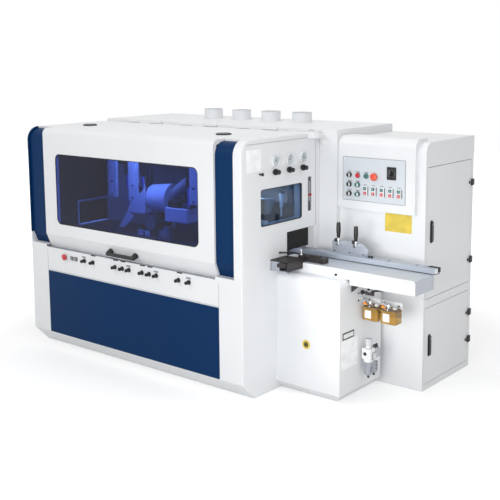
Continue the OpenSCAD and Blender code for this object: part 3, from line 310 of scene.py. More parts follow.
def powderCoat(name, code, rough, peelMm, grime=0.04, sheen=0.5):
    # sprayed and baked powder: satin, with orange peel and a little dust tone over broad areas
    m, tree, shader = startMaterial(name)
    place = add(tree, "ShaderNodeTexCoord").outputs["Object"]
    peel = add(tree, "ShaderNodeTexNoise", [("Vector", place)], Scale=1000 / peelMm, Detail=2.0)
    broad = add(tree, "ShaderNodeTexNoise", [("Vector", place)], Scale=2.2, Detail=3.0)  # 450 mm patches
    shadeBy(tree, shader, broad.outputs["Fac"], (0.3, 0.7), code, (1.0 - grime, 1.0),
            (rough - 0.05, rough + 0.05))
    soft = add(tree, "ShaderNodeBevel", samples=4, Radius=0.0016)  # folded edges, 1.6 mm round
    bump = add(tree, "ShaderNodeBump", [("Height", peel.outputs["Fac"]), ("Normal", soft.outputs["Normal"])],
               Strength=0.06, Distance=0.0004)
    tree.links.new(bump.outputs["Normal"], shader.inputs["Normal"])
    setShader(shader, Specular_IOR_Level=sheen)
    return m


def metal(name, code, rough, grainMm, along, streak=0.10, metallic=1.0):
    # ground or brushed metal: grain along one axis, drawn coarser than the real 0.1 mm grit so that it shows
    m, tree, shader = startMaterial(name)
    place = add(tree, "ShaderNodeTexCoord").outputs["Object"]
    stretch = [1000 / grainMm] * 3
    stretch["xyz".index(along)] /= 60  # sixty times as long as wide
    move = add(tree, "ShaderNodeMapping", [("Vector", place)], Scale=stretch)
    grain = add(tree, "ShaderNodeTexNoise", [("Vector", move.outputs["Vector"])], Scale=1.0, Detail=3.0)
    broad = add(tree, "ShaderNodeTexNoise", [("Vector", place)], Scale=7.0, Detail=4.0)  # 140 mm patches
    both = add(tree, "ShaderNodeMath", [(0, grain.outputs["Fac"]), (1, broad.outputs["Fac"])],
               operation="ADD")
    shadeBy(tree, shader, both.outputs["Value"], (0.7, 1.3), code, (1.0 - streak, 1.0 + streak),
            (rough * (1 - 3 * streak), rough * (1 + 3 * streak)))
    soft = add(tree, "ShaderNodeBevel", samples=4, Radius=0.0008)  # broken edges, 0.8 mm round
    bump = add(tree, "ShaderNodeBump", [("Height", grain.outputs["Fac"]), ("Normal", soft.outputs["Normal"])],
               Strength=0.08, Distance=0.0003)
    tree.links.new(bump.outputs["Normal"], shader.inputs["Normal"])
    setShader(shader, Metallic=metallic)
    return m


def moulded(name, code, rough, grainMm=0.8, depth=0.12, coat=0.0):
    # moulded plastic or rubber: spark-eroded grain, drawn coarse so that it shows, and paler or darker in
    # broad random patches
    m, tree, shader = startMaterial(name)
    place = add(tree, "ShaderNodeTexCoord").outputs["Object"]
    grain = add(tree, "ShaderNodeTexNoise", [("Vector", place)], Scale=1000 / grainMm, Detail=2.0)
    broad = add(tree, "ShaderNodeTexNoise", [("Vector", place)], Scale=18.0, Detail=3.0)  # 55 mm patches
    shadeBy(tree, shader, broad.outputs["Fac"], (0.3, 0.7), code, (0.9, 1.12), (rough - 0.06, rough + 0.06))
    bump = add(tree, "ShaderNodeBump", [("Height", grain.outputs["Fac"])], Strength=depth, Distance=0.0003)
    tree.links.new(bump.outputs["Normal"], shader.inputs["Normal"])
    setShader(shader, Coat_Weight=coat)
    return m


def sandCast(name, code, rough, grainMm, metallic=0.0, depth=0.5):
    # cast metal: sand grain in the skin, drawn coarse so that it shows, with painted shade that darkens the
    # grain's hollows
    m, tree, shader = startMaterial(name)
    place = add(tree, "ShaderNodeTexCoord").outputs["Object"]
    grain = add(tree, "ShaderNodeTexNoise", [("Vector", place)], Scale=1000 / grainMm, Detail=5.0)
    shadeBy(tree, shader, grain.outputs["Fac"], (0.3, 0.7), code, (0.75, 1.2))
    soft = add(tree, "ShaderNodeBevel", samples=4, Radius=0.0015)  # cast edges, 1.5 mm round
    bump = add(tree, "ShaderNodeBump", [("Height", grain.outputs["Fac"]), ("Normal", soft.outputs["Normal"])],
               Strength=depth, Distance=0.0008)
    tree.links.new(bump.outputs["Normal"], shader.inputs["Normal"])
    setShader(shader, Metallic=metallic, Roughness=rough)
    return m


def clearSheet(name, code, rough, ior, weight=1.0, sheen=0.5):
    # clear sheet, tinted right through, with faint smears in its gloss
    m, tree, shader = startMaterial(name)
    place = add(tree, "ShaderNodeTexCoord").outputs["Object"]
    smear = add(tree, "ShaderNodeTexNoise", [("Vector", place)], Scale=6.0, Detail=4.0)  # 170 mm patches
    gloss = add(tree, "ShaderNodeMapRange", [("Value", smear.outputs["Fac"])],
                From_Min=0.35, From_Max=0.75, To_Min=rough, To_Max=rough + 0.05)
    tree.links.new(gloss.outputs["Result"], shader.inputs["Roughness"])
    setShader(shader, Base_Color=linear(code), IOR=ior, Transmission_Weight=weight, Specular_IOR_Level=sheen)
    return m


whitePaint = powderCoat("white powder coat", "#E8EAEC", 0.42, 2.4)
bluePaint = powderCoat("blue powder coat", "#062F5A", 0.46, 2.4, grime=0.05, sheen=0.08)
platePaint = powderCoat("printed console plate", "#D2D8DE", 0.40, 1.6)
greyPaint = powderCoat("pale grey powder coat", "#C9CDD2", 0.45, 2.0)
motorPaint = powderCoat("blue grey enamel", "#3B5FA8", 0.40, 3.0, grime=0.10)
blackPaint = powderCoat("black powder coat", "#141517", 0.50, 2.0)
groundSteel = metal("ground steel table", "#CBD0D7", 0.40, 1.2, "x", streak=0.015, metallic=0.25)
fenceSteel = metal("planed steel fence", "#ADB5C1", 0.38, 1.0, "x", streak=0.02, metallic=0.30)
brushedPlate = metal("brushed stainless plate", "#B0B5BF", 0.38, 0.8, "x", streak=0.03, metallic=0.30)
turnedSteel = metal("turned steel", "#B9BDC3", 0.28, 0.6, "y")
chrome = metal("chrome plate", "#DADDE0", 0.10, 3.0, "z", streak=0.03)
castAluminium = sandCast("die cast aluminium", "#B4B8BC", 0.45, 1.5, metallic=1.0, depth=0.25)
greyIron = sandCast("planed grey iron", "#6A6E74", 0.48, 2.0, metallic=0.6)
blackIron = sandCast("black stoved casting", "#2B2627", 0.50, 1.8)
blackPlastic = moulded("black moulded nylon", "#0E0F11", 0.44)
blackRubber = moulded("black rubber", "#121213", 0.70, grainMm=1.2, depth=0.2)
greyPlastic = moulded("grey moulded ABS", "#8D9196", 0.45)
whitePlastic = moulded("white moulded ABS", "#E4E6E7", 0.38)
redPlastic = moulded("red moulded ABS", "#C8202F", 0.30, coat=0.3)
orangePlastic = moulded("orange red moulded ABS", "#E2502E", 0.30, coat=0.3)
greenPlastic = moulded("green moulded ABS", "#2F7068", 0.32, coat=0.3)
yellowPlate = moulded("yellow polyester plate", "#D8BF4A", 0.40, grainMm=0.5, depth=0.04)
brassPlug = metal("turned brass", "#B8924A", 0.26, 0.6, "y")
hoodTint = clearSheet("blue tinted polycarbonate", "#4560BE", 0.02, 1.25, sheen=0.3)
endTint = clearSheet("pale blue polycarbonate", "#93B9E6", 0.03, 1.45)
clearPlastic = clearSheet("clear polycarbonate", "#F2F6F8", 0.04, 1.45)
amberOil = clearSheet("amber oil in a clear reservoir", "#E0B55C", 0.10, 1.40, weight=0.65)
paperWhite = moulded("white printed sheet", "#F7F8F9", 0.55, depth=0.03)
tagPlastic = moulded("orange moulded nylon", "#F0922E", 0.36)
# black foam, used as painted shade on the unlit inside of the hood
foam = moulded("black acoustic foam as painted shade", "#17181B", 0.90, grainMm=6.0, depth=0.6)
print("materials ready")


def paint(node, material):
    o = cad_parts[node]
    o.data.materials.clear()
    o.data.materials.append(material)


for node in ("base_cabinet", "enclosure_frame", "rear_housing", "infeed_pedestal", "electrical_cabinet",
             "upper_door", "lower_door", "control_console", "hood", "infeed_end_plate", "dust_spouts"):
    paint(node, whitePaint)
paint("blue_panels", bluePaint)
paint("machine_bed", greyIron)
paint("spindle_motors", motorPaint)
# the feed beam is black as painted shade, so that the unlit inside of the hood stays dark through the window
paint("feed_beam", blackPaint)
paint("hood_window", hoodTint)
paint("end_window", endTint)
for node in ("infeed_table", "infeed_fence"):
    paint(node, groundSteel)
for node in ("bottom_spindle", "right_spindle", "left_spindle", "top_spindle", "feed_roller_1",
             "feed_roller_2"):
    paint(node, turnedSteel)

# Camera at the photograph's viewing angle, light and floor
view = {"at": (4.1215, -5.002, 2.198), "azimuth": 39.43, "elevation": 8.39, "roll": -0.458,
        "lens": 65.43, "sensor": 36.0, "shiftY": -0.12}
a, e, roll = (math.radians(view[k]) for k in ("azimuth", "elevation", "roll"))
back = Vector((math.sin(a) * math.cos(e), -math.cos(a) * math.cos(e), math.sin(e)))
right = (-back).cross(Vector((0, 0, 1))).normalized()
up = right.cross(-back)
right, up = math.cos(roll) * right + math.sin(roll) * up, -math.sin(roll) * right + math.cos(roll) * up
camData = bpy.data.cameras.new("camera")
camData.lens, camData.sensor_width, camData.sensor_fit = view["lens"], view["sensor"], "HORIZONTAL"
camData.shift_y = view["shiftY"]
camera = bpy.data.objects.new("camera", camData)
camera.matrix_world = Matrix.Translation(view["at"]) @ Matrix((right, up, back)).transposed().to_4x4()
bpy.context.scene.collection.objects.link(camera)
bpy.context.scene.camera = camera

# Lamps: place and aim in metres, width in metres, watts and spread in degrees
lamps = {"key": ((-2.2, -5.2, 4.6), (-0.3, 0, 0.9), 3.0, 94.0, 180),
         "fill": ((5.0, -2.2, 2.6), (0.6, 0, 0.9), 3.0, 35.0, 180),
         "top": ((0.2, 0.4, 5.2), (0.2, 0.2, 0), 4.0, 54.0, 180),
         "inside": ((-0.66, -0.50, 1.60), (-0.70, -0.22, 1.10), 0.3, 5.5, 180),
         "entry": ((0.18, -0.45, 1.60), (0.25, -0.15, 1.15), 0.2, 2.8, 180),
         "recess": ((2.3, -3.5, 1.35), (0.95, 0.6, 0.8), 1.5, 44.0, 180),
         "alcove": ((1.0, -1.3, 0.98), (0.98, 0.13, 0.96), 0.4, 0.42, 50),
         "low": ((1.22, -1.2, 0.5), (1.2, 0.13, 0.42), 0.4, 0.28, 46)}
for name, (at, aim, width, watts, spread) in lamps.items():
    data = bpy.data.lights.new(name, "AREA")
    data.shape, data.size, data.energy, data.spread = "DISK", width, watts, math.radians(spread)
    o = bpy.data.objects.new(name, data)
    o.location = at
    o.rotation_euler = (Vector(aim) - Vector(at)).to_track_quat("-Z", "Y").to_euler()
    bpy.context.scene.collection.objects.link(o)
studio = {"sky": 0.50, "floor": "#E9E9E9", "floorHalf": 14.0, "floorGlow": 0.34, "fadeFrom": 2.0,
          "fadeTo": 4.5}


def shownDirectly(tree):  # 1 where the camera meets a surface straight, in a reflection or through glass
    rays = add(tree, "ShaderNodeLightPath")
    seen = rays.outputs["Is Camera Ray"]
    for kind in ("Is Glossy Ray", "Is Transmission Ray"):
        most = add(tree, "ShaderNodeMath", [(0, seen), (1, rays.outputs[kind])], operation="MAXIMUM")
        seen = most.outputs["Value"]
    return seen


world = bpy.data.worlds.new("studio")
bpy.context.scene.world = world
world.use_nodes = True
tree = world.node_tree
sky = tree.nodes["Background"]
sky.inputs["Color"].default_value = (1, 1, 1, 1)
level = add(tree, "ShaderNodeMapRange", [("Value", shownDirectly(tree))], To_Min=studio["sky"], To_Max=1.0)
tree.links.new(level.outputs["Result"], sky.inputs["Strength"])

floorMesh = bpy.data.meshes.new("floor")
half = studio["floorHalf"]
floorMesh.from_pydata([(-half, -half, 0), (half, -half, 0), (half, half, 0), (-half, half, 0)], [],
                      [(0, 1, 2, 3)])
floor = bpy.data.objects.new("floor", floorMesh)
bpy.context.scene.collection.objects.link(floor)
m, tree, shader = startMaterial("studio floor")
setShader(shader, Base_Color=linear(studio["floor"]), Roughness=0.9, Emission_Color=(1, 1, 1, 1))
place = add(tree, "ShaderNodeTexCoord")
reach = add(tree, "ShaderNodeVectorMath", [("Vector", place.outputs["Object"])], operation="LENGTH")
fade = add(tree, "ShaderNodeMapRange", [("Value", reach.outputs["Value"])], From_Min=studio["fadeFrom"],
           From_Max=studio["fadeTo"], To_Min=studio["floorGlow"], To_Max=1.0)
glow = add(tree, "ShaderNodeMath", [(0, shownDirectly(tree)), (1, fade.outputs["Result"])],
           operation="MULTIPLY")
tree.links.new(glow.outputs["Value"], shader.inputs["Emission Strength"])
floorMesh.materials.append(m)
bpy.context.scene.view_settings.view_transform = "Standard"
print("camera, light and floor ready")

# Infeed end box: folded steel with a rounded outer rim, cut for the window, the feed mouth and the pointer
endBox = {"rim": 13.0, "corner": 100.0, "toe": 120.0, "windowCorner": 18.0, "skin": 1.5, "skinTop": 34.0,
          "skinRear": 57.0, "skinFront": 20.0, "skinLow": 140.0, "skinStep": (345.0, 806.0)}
mouth = {"y0": 465.0, "y1": 768.0, "z0": 860.0, "z1": 1045.0, "strips": 11, "bottom": 868.0}  # at both ends
slit = {"y0": 709.5, "y1": 720.5, "z0": 1225.0, "z1": 1357.0}  # for the thickness pointer
inside, outside = -90.0, 30.0  # the cutters' ends on both sides of the end box
lo, hi = span("infeed_end_plate")
winLo, winHi = span("end_window")
windowBox = (winLo.y, winLo.z), (winHi.y, winHi.z)
outline = [(endBox["toe"], 0), (0, endBox["toe"])] + cornerArc(0, hi.z, endBox["corner"], 12)
outline += [(hi.y, hi.z), (hi.y, 0)]


def endCuts():
    window = roundOutline(winLo.y, winHi.y, winLo.z, winHi.z, endBox["windowCorner"])
    return [boxPart((inside, mouth["y0"], mouth["z0"]), (outside, mouth["y1"], mouth["z1"]), 0),
            platePart(window, "x", inside, outside),
            boxPart((inside, slit["y0"], slit["z0"]), (outside, slit["y1"], slit["z1"]), 0)]


body = carve(platePart(outline, "x", lo.x, 0, endBox["rim"], 4, False), endCuts())
skinTop, skinRear = hi.z - endBox["skinTop"], hi.y - endBox["skinRear"]
stepY, stepZ = endBox["skinStep"]  # the skin keeps clear of the pedestal
skinLine = [(stepY, endBox["skinLow"]), (endBox["skinFront"], endBox["skinLow"])]
skinLine += cornerArc(endBox["skinFront"], skinTop, endBox["corner"] - endBox["skinFront"], 10)
skinLine += [(skinRear, skinTop), (skinRear, stepZ), (stepY, stepZ)]
skin = carve(platePart(skinLine, "x", -1, endBox["skin"], 0.9, 2, False), endCuts())
gasket = ringPart(*windowBox, (0.5, 18), (-6, 13), "x", winHi.x, -1.5, (-40, 20), 1.0)
liner = ringPart(*windowBox, (-0.2, 18), (-3, 15), "x", lo.x + 1, -12, (-90, 20))
piece("infeedEndBox", [(liner, greyPlastic), (body, whitePaint), (skin, whitePaint), (gasket, blackRubber)],
      replaces="infeed_end_plate")

# Black rubber strips that hang in the feed mouth and stop above the timber; their black is also painted shade
# for the dark inside of the mouth
curtain = {"gap": 0.8, "thick": 4.0, "x": -48.0, "overFence": 903.0, "top": 1044.5, "bar": 1030.0}
step = (mouth["y1"] - mouth["y0"]) / mouth["strips"]
x, parts = curtain["x"], []
for i in range(mouth["strips"]):
    y = mouth["y0"] + i * step
    bottom = curtain["overFence"] if i > 2 else mouth["bottom"]
    parts.append((boxPart((x, y + curtain["gap"] / 2, bottom + (i % 3) * 1.5),
                          (x + curtain["thick"], y + step - curtain["gap"] / 2, curtain["top"]), 1.0),
                  blackRubber))
parts.append((boxPart((x - 6, mouth["y0"] + 0.5, curtain["bar"]),
                      (x + 0.5, mouth["y1"] - 0.5, curtain["top"] + 0.3), 1.0), blackPaint))
piece("mouthShadeCurtain", parts)

# White conduit from the end box into the bay behind it
conduit = {"radius": 21.0, "path": [(-12, 712, 1664), (12, 720, 1665), (28, 752, 1664), (33, 792, 1659),
                                    (33, 822, 1645), (33, 840, 1622), (33, 858, 1606)]}
roofStep = (-84, 806, 1668), (-56, 848, 1697)  # closes the notch where the roof steps
parts = [(sweepPart(smoothPath(conduit["path"]), conduit["radius"], 24), whitePlastic),
         (lathePart([(0, 0), (25, 0), (25, 4), (23, 6), (21, 7), (0, 7)], (1.5, 716, 1665), (1, 0.25, 0)),
          whitePlastic),
         (lathePart([(0, 0), (26, 0), (26, 5), (24, 7), (21, 8), (0, 8)], (33, 846, 1614), (0, -1, 0.6)),
          whitePlastic),
         (boxPart(*roofStep, 0.5), whitePaint)]
piece("endConduit", parts)

# Extraction spouts: spun steel collars with a rolled bead and a screwed flange
spout = {"count": 4, "radius": 75.0, "wall": 2.0, "bead": 2.4, "flange": 90.0, "screws": 6,
         "screwCircle": 83.0}
lo, hi = span("dust_spouts")
pitch = (hi.x - lo.x - 2 * spout["flange"]) / (spout["count"] - 1)
r, flange, h = spout["radius"], spout["flange"], hi.z - lo.z
bore = r - spout["wall"]
collar = [(bore, 0), (bore, h - 3), (r - 0.5, h - 0.4), (r + 1.4, h), (r + spout["bead"], h - 2),
          (r + 1.4, h - 4.5), (r, h - 5.5), (r, 9), (r + 1.5, 5.2), (r + 4, 4), (flange - 1.5, 4),
          (flange, 2.8), (flange, 0), (bore, 0)]
parts = []
for i in range(spout["count"]):
    centre = Vector((lo.x + flange + i * pitch, (lo.y + hi.y) / 2, lo.z))
    parts.append((lathePart(collar, centre, upward, 64), whitePaint))
    for k in range(spout["screws"]):
        t = 2 * math.pi * (k + 0.5) / spout["screws"]
        at = centre + Vector((spout["screwCircle"] * math.cos(t), spout["screwCircle"] * math.sin(t), 4))
        parts.append((lathePart([(4.5, 0), (4.5, 1.4), (3, 2.6), (0, 3)], at, upward, 12), chrome))
piece("extractionSpouts", parts, replaces="dust_spouts")

# Bow handle on the hood's slope: moulded nylon with round feet
bow = {"bar": 14.0, "shift": -22.0, "reach": 126.0, "seat": (21.0, 834.5), "slope": (-101.0, -42.0)}
lo, hi = span("hood")
out = Vector((0, *bow["slope"])).normalized()
seat = Vector(((lo.x + hi.x) / 2 + bow["shift"], *bow["seat"]))
side = [(bow["reach"], 30), (bow["reach"] - 5, 37), (108, 39.5), (60, 40)]  # across and off the hood
bend = [(-x, d) for x, d in side] + [(0, 40)] + side[::-1]
bar = [seat + Vector((x, 0, 0)) + out * d for x, d in bend]
foot = [(0, 0), (21, 0), (22, 4), (21, 12), (19.5, 20), (19, 34), (17, 42), (12, 49), (5, 52.6), (0, 53)]
parts = [(sweepPart(smoothPath(bar, 6), bow["bar"], 20), blackPlastic)]
for x in (-bow["reach"], bow["reach"]):
    parts.append((lathePart(foot, seat + Vector((x, 0, 0)), out, 28), blackPlastic))
piece("hoodHandle", parts, "hood", "hood_handle")

# Rubber gasket in the hood's window opening, and two low vent caps on the hood's top
lo, hi = span("hood_window")
lap = 15.0  # the window's edge under the hood
ring = ringPart((lo.x, lo.z), (hi.x, hi.z), (1 - lap, 46), (-lap - 6, 39), "y", 4, 0.8, (-9, 19), 0.8)
piece("hoodGasket", [(ring, blackRubber)], "hood")
cap = {"radius": 54.0, "grille": 42.0, "bars": 7, "pitch": 12.0,
       "places": ((-1820, 372, 1680), (-425, 330, 1680))}
r, grille = cap["radius"], cap["grille"]
dome = [(0, 5), (40, 5), (grille, 6), (44, 9), (46, 10), (50, 9), (r, 3), (r, 0), (0, 0)]
parts = []
for at in cap["places"]:
    at = Vector(at)
    parts.append((lathePart(dome, at, upward, 40), blackPlastic))
    for k in range(cap["bars"]):
        off = (k - (cap["bars"] - 1) / 2) * cap["pitch"]
        reach = math.sqrt(grille ** 2 - off ** 2)
        parts.append((boxPart(at + Vector((off - 2.5, -reach, 4)), at + Vector((off + 2.5, reach, 8)), 1.0),
                      greyPlastic))
piece("hoodVents", parts, "hood")

# Front of the base: joint lines of the control strip and the ledge over the lower panel
front = {"left": -1920.0, "right": -195.0, "foot": 600.0, "head": 754.0, "joint": 1.6, "ledge": 11.0,
         "seal": ((-1929, 5, 757), (-226, 38, 782.4)), "buffers": (-1401, -1164, -1088, -893, -819, -540)}
low = front["foot"]
parts = [(boxPart((x - front["joint"] / 2, -0.3, low + 1), (x + front["joint"] / 2, 0.5, front["head"]), 0),
          blackRubber) for x in (front["left"], front["right"])]
parts += [(boxPart((front["left"], -2.6, low), (front["right"], 1.5, low + front["ledge"]), 1.0), greyPaint),
          (boxPart(*front["seal"], 1.0), greyPlastic)]
for x in front["buffers"]:  # under the hood's lip
    parts.append((boxPart((x - 24, -1.6, 775), (x + 24, 6, 782.6), 1.0), blackRubber))
piece("frontTrim", parts)
wallEdge = {"x0": -2110.6, "x1": -2099.6, "low": 878.0, "corner": 100.0, "top": 1680.0, "proud": 0.6,
            "deep": 18.0}


def edgeLine(grow):  # the outfeed end wall's front edge, grown outwards
    arc = cornerArc(-grow, wallEdge["top"] + grow, wallEdge["corner"] + grow, 12)
    return [(-grow, wallEdge["low"])] + arc


outline = edgeLine(wallEdge["proud"]) + edgeLine(-wallEdge["deep"])[::-1]
piece("leftTrimEdge", [(platePart(outline, "x", wallEdge["x0"], wallEdge["x1"]), bluePaint)])
print("enclosure dressed")

# Control console: printed aluminium plate with switches in black bezels
panel = {"x0": 184.0, "x1": 657.0, "z0": 1237.0, "z1": 1523.0, "face": 856.0, "switches": 5,
         "switchFrame": 15.4, "dialPlate": (33.5, 42.0), "dialScale": 25.0, "dialMarks": 11}
panelLo, panelHi = (panel["x0"], panel["z0"]), (panel["x1"], panel["z1"])
face = panel["face"]
sheetFront = face - 0.8
sheet = roundOutline(panel["x0"] - 1, panel["x1"] + 1, panel["z0"] - 1, panel["z1"] + 1, 6)
parts = [(platePart(sheet, "y", face + 1.5, sheetFront, 0.5, 2, False), platePaint)]
for x in (panel["x0"] + 8, (panel["x0"] + panel["x1"]) / 2, panel["x1"] - 8):
    for z in (panel["z0"] + 8, panel["z1"] - 8):
        parts.append((lathePart([(4, 0), (4, 1.2), (2.6, 2.2), (0, 2.5)], (x, sheetFront, z), frontward, 14),
                      chrome))
edge = ringPart(panelLo, panelHi, (4, 8), (1, 6), "y", face + 1.5, sheetFront + 0.3, (face - 9, face + 9))
parts.append((edge, greyPlastic))
switches = range(1, panel["switches"] + 1)
bezelRing = [(15.2, 0), (15.2, 4.2), (16, 4.8), (17.2, 4.4), (17.8, 3.4), (18, 0), (15.2, 0)]


def nameStrip(x, z, half, tall):  # plain strip over a switch
    return boxPart((x - half, sheetFront - 0.5, z), (x + half, sheetFront + 0.4, z + tall), 0.2), greyPlastic


for node in ["selector_%d" % i for i in switches] + ["console_stop", "console_start"]:
    c = middle(node)
    parts += [(lathePart(bezelRing, (c.x, face, c.z), frontward, 32), blackPlastic),
              nameStrip(c.x, c.z + 20, 15, 7)]
wide = panel["switchFrame"]
for i in switches:  # twin start and stop switches in one frame, with a dark gauge bar beside it
    on, off = middle("motor_start_%d" % i), middle("motor_stop_%d" % i)
    outline = roundOutline(on.x - wide, on.x + wide, off.z - wide, on.z + wide, 3)
    parts += [(platePart(outline, "y", face + 0.5, face - 5.8, 1.2, 3, False), whitePlastic),
              (boxPart((on.x + 20, face - 2.6, off.z - 14), (on.x + 25, face, on.z + 14), 0.8), blackPlastic),
              nameStrip(on.x, on.z + 21, 13, 6)]
c, (wide, tall) = middle("speed_dial"), panel["dialPlate"]
outline = roundOutline(c.x - wide, c.x + wide, c.z - tall, c.z + tall, 4)
parts.append((platePart(outline, "y", face + 0.5, face - 6.8, 1.0, 3, False), blackPlastic))
for k in range(panel["dialMarks"]):
    t = math.radians(225 - 270 * k / (panel["dialMarks"] - 1))
    at = Vector((c.x + panel["dialScale"] * math.cos(t), face - 6.9, c.z + panel["dialScale"] * math.sin(t)))
    parts.append((lathePart([(1.5, 0), (1.5, 0.5), (0, 0.6)], at, frontward, 10), whitePlastic))
lo, hi = span("control_console")
# grey strip along the console's bottom edge: painted shade for the shadow line under the console
parts.append((boxPart((lo.x + 2, hi.y - 32, lo.z - 5), (hi.x - 2, hi.y - 1, lo.z + 0.5), 0.8), greyPlastic))
piece("controlPlate", parts)


def placed(node):  # a switch's middle, where its front is and how deep it is
    lo, hi = span(node)
    return (lo + hi) / 2, lo.y, hi.y - lo.y


def turned(node, profile, around=32):  # a switch's part, turned about its axis from its front
    c, y = placed(node)[:2]
    return lathePart(profile, (c.x, y, c.z), rearward, around)


for name, node, finish, slot in (("stopButton", "console_stop", redPlastic, "red_plastic"),
                                 ("startButton", "console_start", greenPlastic, "green_plastic")):
    deep = placed(node)[2]
    button = [(0, -1.2), (10, -1.2), (14.6, -0.6), (16.2, 0.3), (16.2, 0.9), (10.9, 1.0), (10.9, deep),
              (0, deep)]
    piece(name, [(turned(node, button), finish)], node, node)
keyHalf = 10.6  # of the square keys
offRing = [(3.4, 0), (3.4, 0.3), (5.2, 0.3), (5.2, 0), (3.4, 0)]
for i in switches:
    for kind, finish, slot in (("start", greenPlastic, "green_plastic"), ("stop", redPlastic, "red_plastic")):
        node = "motor_%s_%d" % (kind, i)
        c, y, deep = placed(node)
        lo, hi = (c.x - keyHalf, y, c.z - keyHalf), (c.x + keyHalf, y + deep, c.z + keyHalf)
        if kind == "start":  # the bar for on
            mark = boxPart((c.x - 1, y - 0.25, c.z - 5), (c.x + 1, y + 0.5, c.z + 5), 0.1)
        else:
            mark = lathePart(offRing, (c.x, y, c.z), frontward, 24)
        piece("motorSwitch_%s_%d" % (kind, i), [(boxPart(lo, hi, 1.8, 3), finish), (mark, whitePlastic)],
              node, node)
mushroom = [(0, 0), (9, 0.4), (16, 1.6), (20.6, 4.2), (22.7, 8), (23, 11), (21.8, 14.2), (17, 15.4),
            (12, 15.7)]
stopHeads = (("consoleStopHead", "console_estop", orangePlastic, 8.0, 1.13, 0),
             ("stripStopHead", "strip_estop", redPlastic, 11.0, 1.0, 20))
for name, node, finish, stem, grow, near in stopHeads:
    deep = placed(node)[2]
    head = [(r * grow, d + near) for r, d in mushroom] + [(stem, near + 15.8), (stem, deep), (0, deep)]
    piece(name, [(turned(node, head, 40), finish)], node, node)
for i in switches:
    node = "selector_%d" % i
    c, y, deep = placed(node)
    knob, slot = (blackRubber, "black_plastic") if i < 4 else (greenPlastic, "green_plastic")
    drum = [(0, 5), (14.6, 5), (15.8, 6.2), (16, 19.4), (8, 19.7), (8, deep), (0, deep)]
    turns = [math.pi * (k / 12 - 0.5) for k in range(13)]
    half = [(c.x + 2 + 12 * math.cos(t), c.z + 13.6 * math.sin(t)) for t in turns]
    parts = [(turned(node, drum), knob),
             (boxPart((c.x - 4.2, y, c.z - 13.6), (c.x + 2.2, y + 6, c.z + 13.6), 1.8, 3), knob),
             (platePart(half, "y", y + 6, y + 4.2, 0.5, 2, False), whitePlastic)]
    piece("selectorKnob_%d" % i, parts, node, node)
c, y, deep = placed("speed_dial")
drum = [(0, 13.5), (15, 13.5), (16.6, 14.8), (17, 19.7), (8, 19.7), (8, deep), (0, deep)]
parts = [(turned("speed_dial", drum, 40), blackPlastic),
         (boxPart((c.x - 4.5, y, c.z - 16.5), (c.x + 4.5, y + 15, c.z + 16.5), 2.0, 3), blackPlastic),
         (boxPart((c.x - 0.8, y - 0.2, c.z + 4), (c.x + 0.8, y + 0.5, c.z + 14.5), 0.1), whitePlastic)]
piece("speedKnob", parts, "speed_dial", "speed_dial")

# Plain plate on the cabinet's front, held by four rivets
plain = {"x0": 494.0, "x1": 694.0, "z0": 1047.0, "z1": 1172.0, "y": 886.8, "rivetIn": 6.0}
outline = roundOutline(plain["x0"], plain["x1"], plain["z0"], plain["z1"], 3)
parts = [(platePart(outline, "y", plain["y"] + 1.4, plain["y"], 0.4, 2, False), yellowPlate)]
for x in (plain["x0"] + plain["rivetIn"], plain["x1"] - plain["rivetIn"]):
    for z in (plain["z0"] + plain["rivetIn"], plain["z1"] - plain["rivetIn"]):
        parts.append((lathePart([(2.4, 0), (2.2, 1), (0, 1.6)], (x, plain["y"], z), frontward, 12), chrome))
piece("cabinetPlate", parts)

# Cabinet doors: swing handles in dishes, with a key cylinder
latch = {"axisY": 972.0, "dish": 16.5, "short": 18.0, "skin": 789.8}
hub = [(0, 0), (8, 0), (8, 3.8), (16, 4), (16, 11.5), (8, 11.7), (8, 16.4), (13.6, 16.4), (13.6, 24), (0, 24)]
y = latch["axisY"]
for door, node, z in (("upper_door", "upper_latch", 1112.0), ("lower_door", "lower_latch", 350.0)):
    lo, hi = span(node)
    low = lo.z + latch["short"]
    outline = roundOutline(y - latch["dish"], y + latch["dish"], low - 8, hi.z + 9, 15)
    dish = carve(platePart(outline, "x", latch["skin"], 793.4, 1.6, 3, False),
                 [rodPart((770, y, z), endward, 14.4, 40, 32)])
    piece(door + "HandleDish", [(dish, blackPlastic)], door)
    grip = [(platePart(roundOutline(y - 11.5, y + 11.5, low, hi.z, 10), "x", 795, 803, 2.4, 3, False),
             blackPlastic),
            (lathePart(hub, (774, y, z), endward, 28), blackPlastic),
            (lathePart([(0, 0), (7.5, 0), (7.5, 1.0), (6.5, 1.8), (0, 1.8)], (802.4, y, z), endward, 24),
             greyPlastic),
            (boxPart((803.4, y - 0.7, z - 4), (804.6, y + 0.7, z + 4), 0), blackRubber)]  # keyhole
    piece(node + "Grip", grip, node, node)

# Switchgear behind the upper door
gear = {"across": 7, "rows": 2, "pitch": 68.0, "rise": 220.0, "x": 164.3, "y": 972.0, "z": 772.0,
        "duct": (972.5, 1467.5)}
x, parts = gear["x"], []
for i in range(gear["rows"]):
    z = gear["z"] + i * gear["rise"]
    for j in range(gear["across"]):
        y = gear["y"] + j * gear["pitch"]
        parts += [(boxPart((x, y - 0.5, z - 0.5), (x + 58, y + 50.5, z + 90.5), 1.5), greyPlastic),
                  (boxPart((x + 50, y + 3, z + 14), (x + 71, y + 47, z + 76), 2.0), blackPlastic)]
        for k in range(3):  # terminal screws
            for end in (6.5, 83.5):
                at = (x + 57.8, y + 10 + 15 * k, z + end)
                parts.append((lathePart([(4, 0), (4, 1.2), (0, 1.6)], at, endward, 10), chrome))
    for side in (-34, 104):  # wiring ducts
        parts.append((boxPart((x, gear["duct"][0], z + side), (x + 40, gear["duct"][1], z + side + 24), 1.0),
                      whitePlastic))
piece("switchgear", parts)


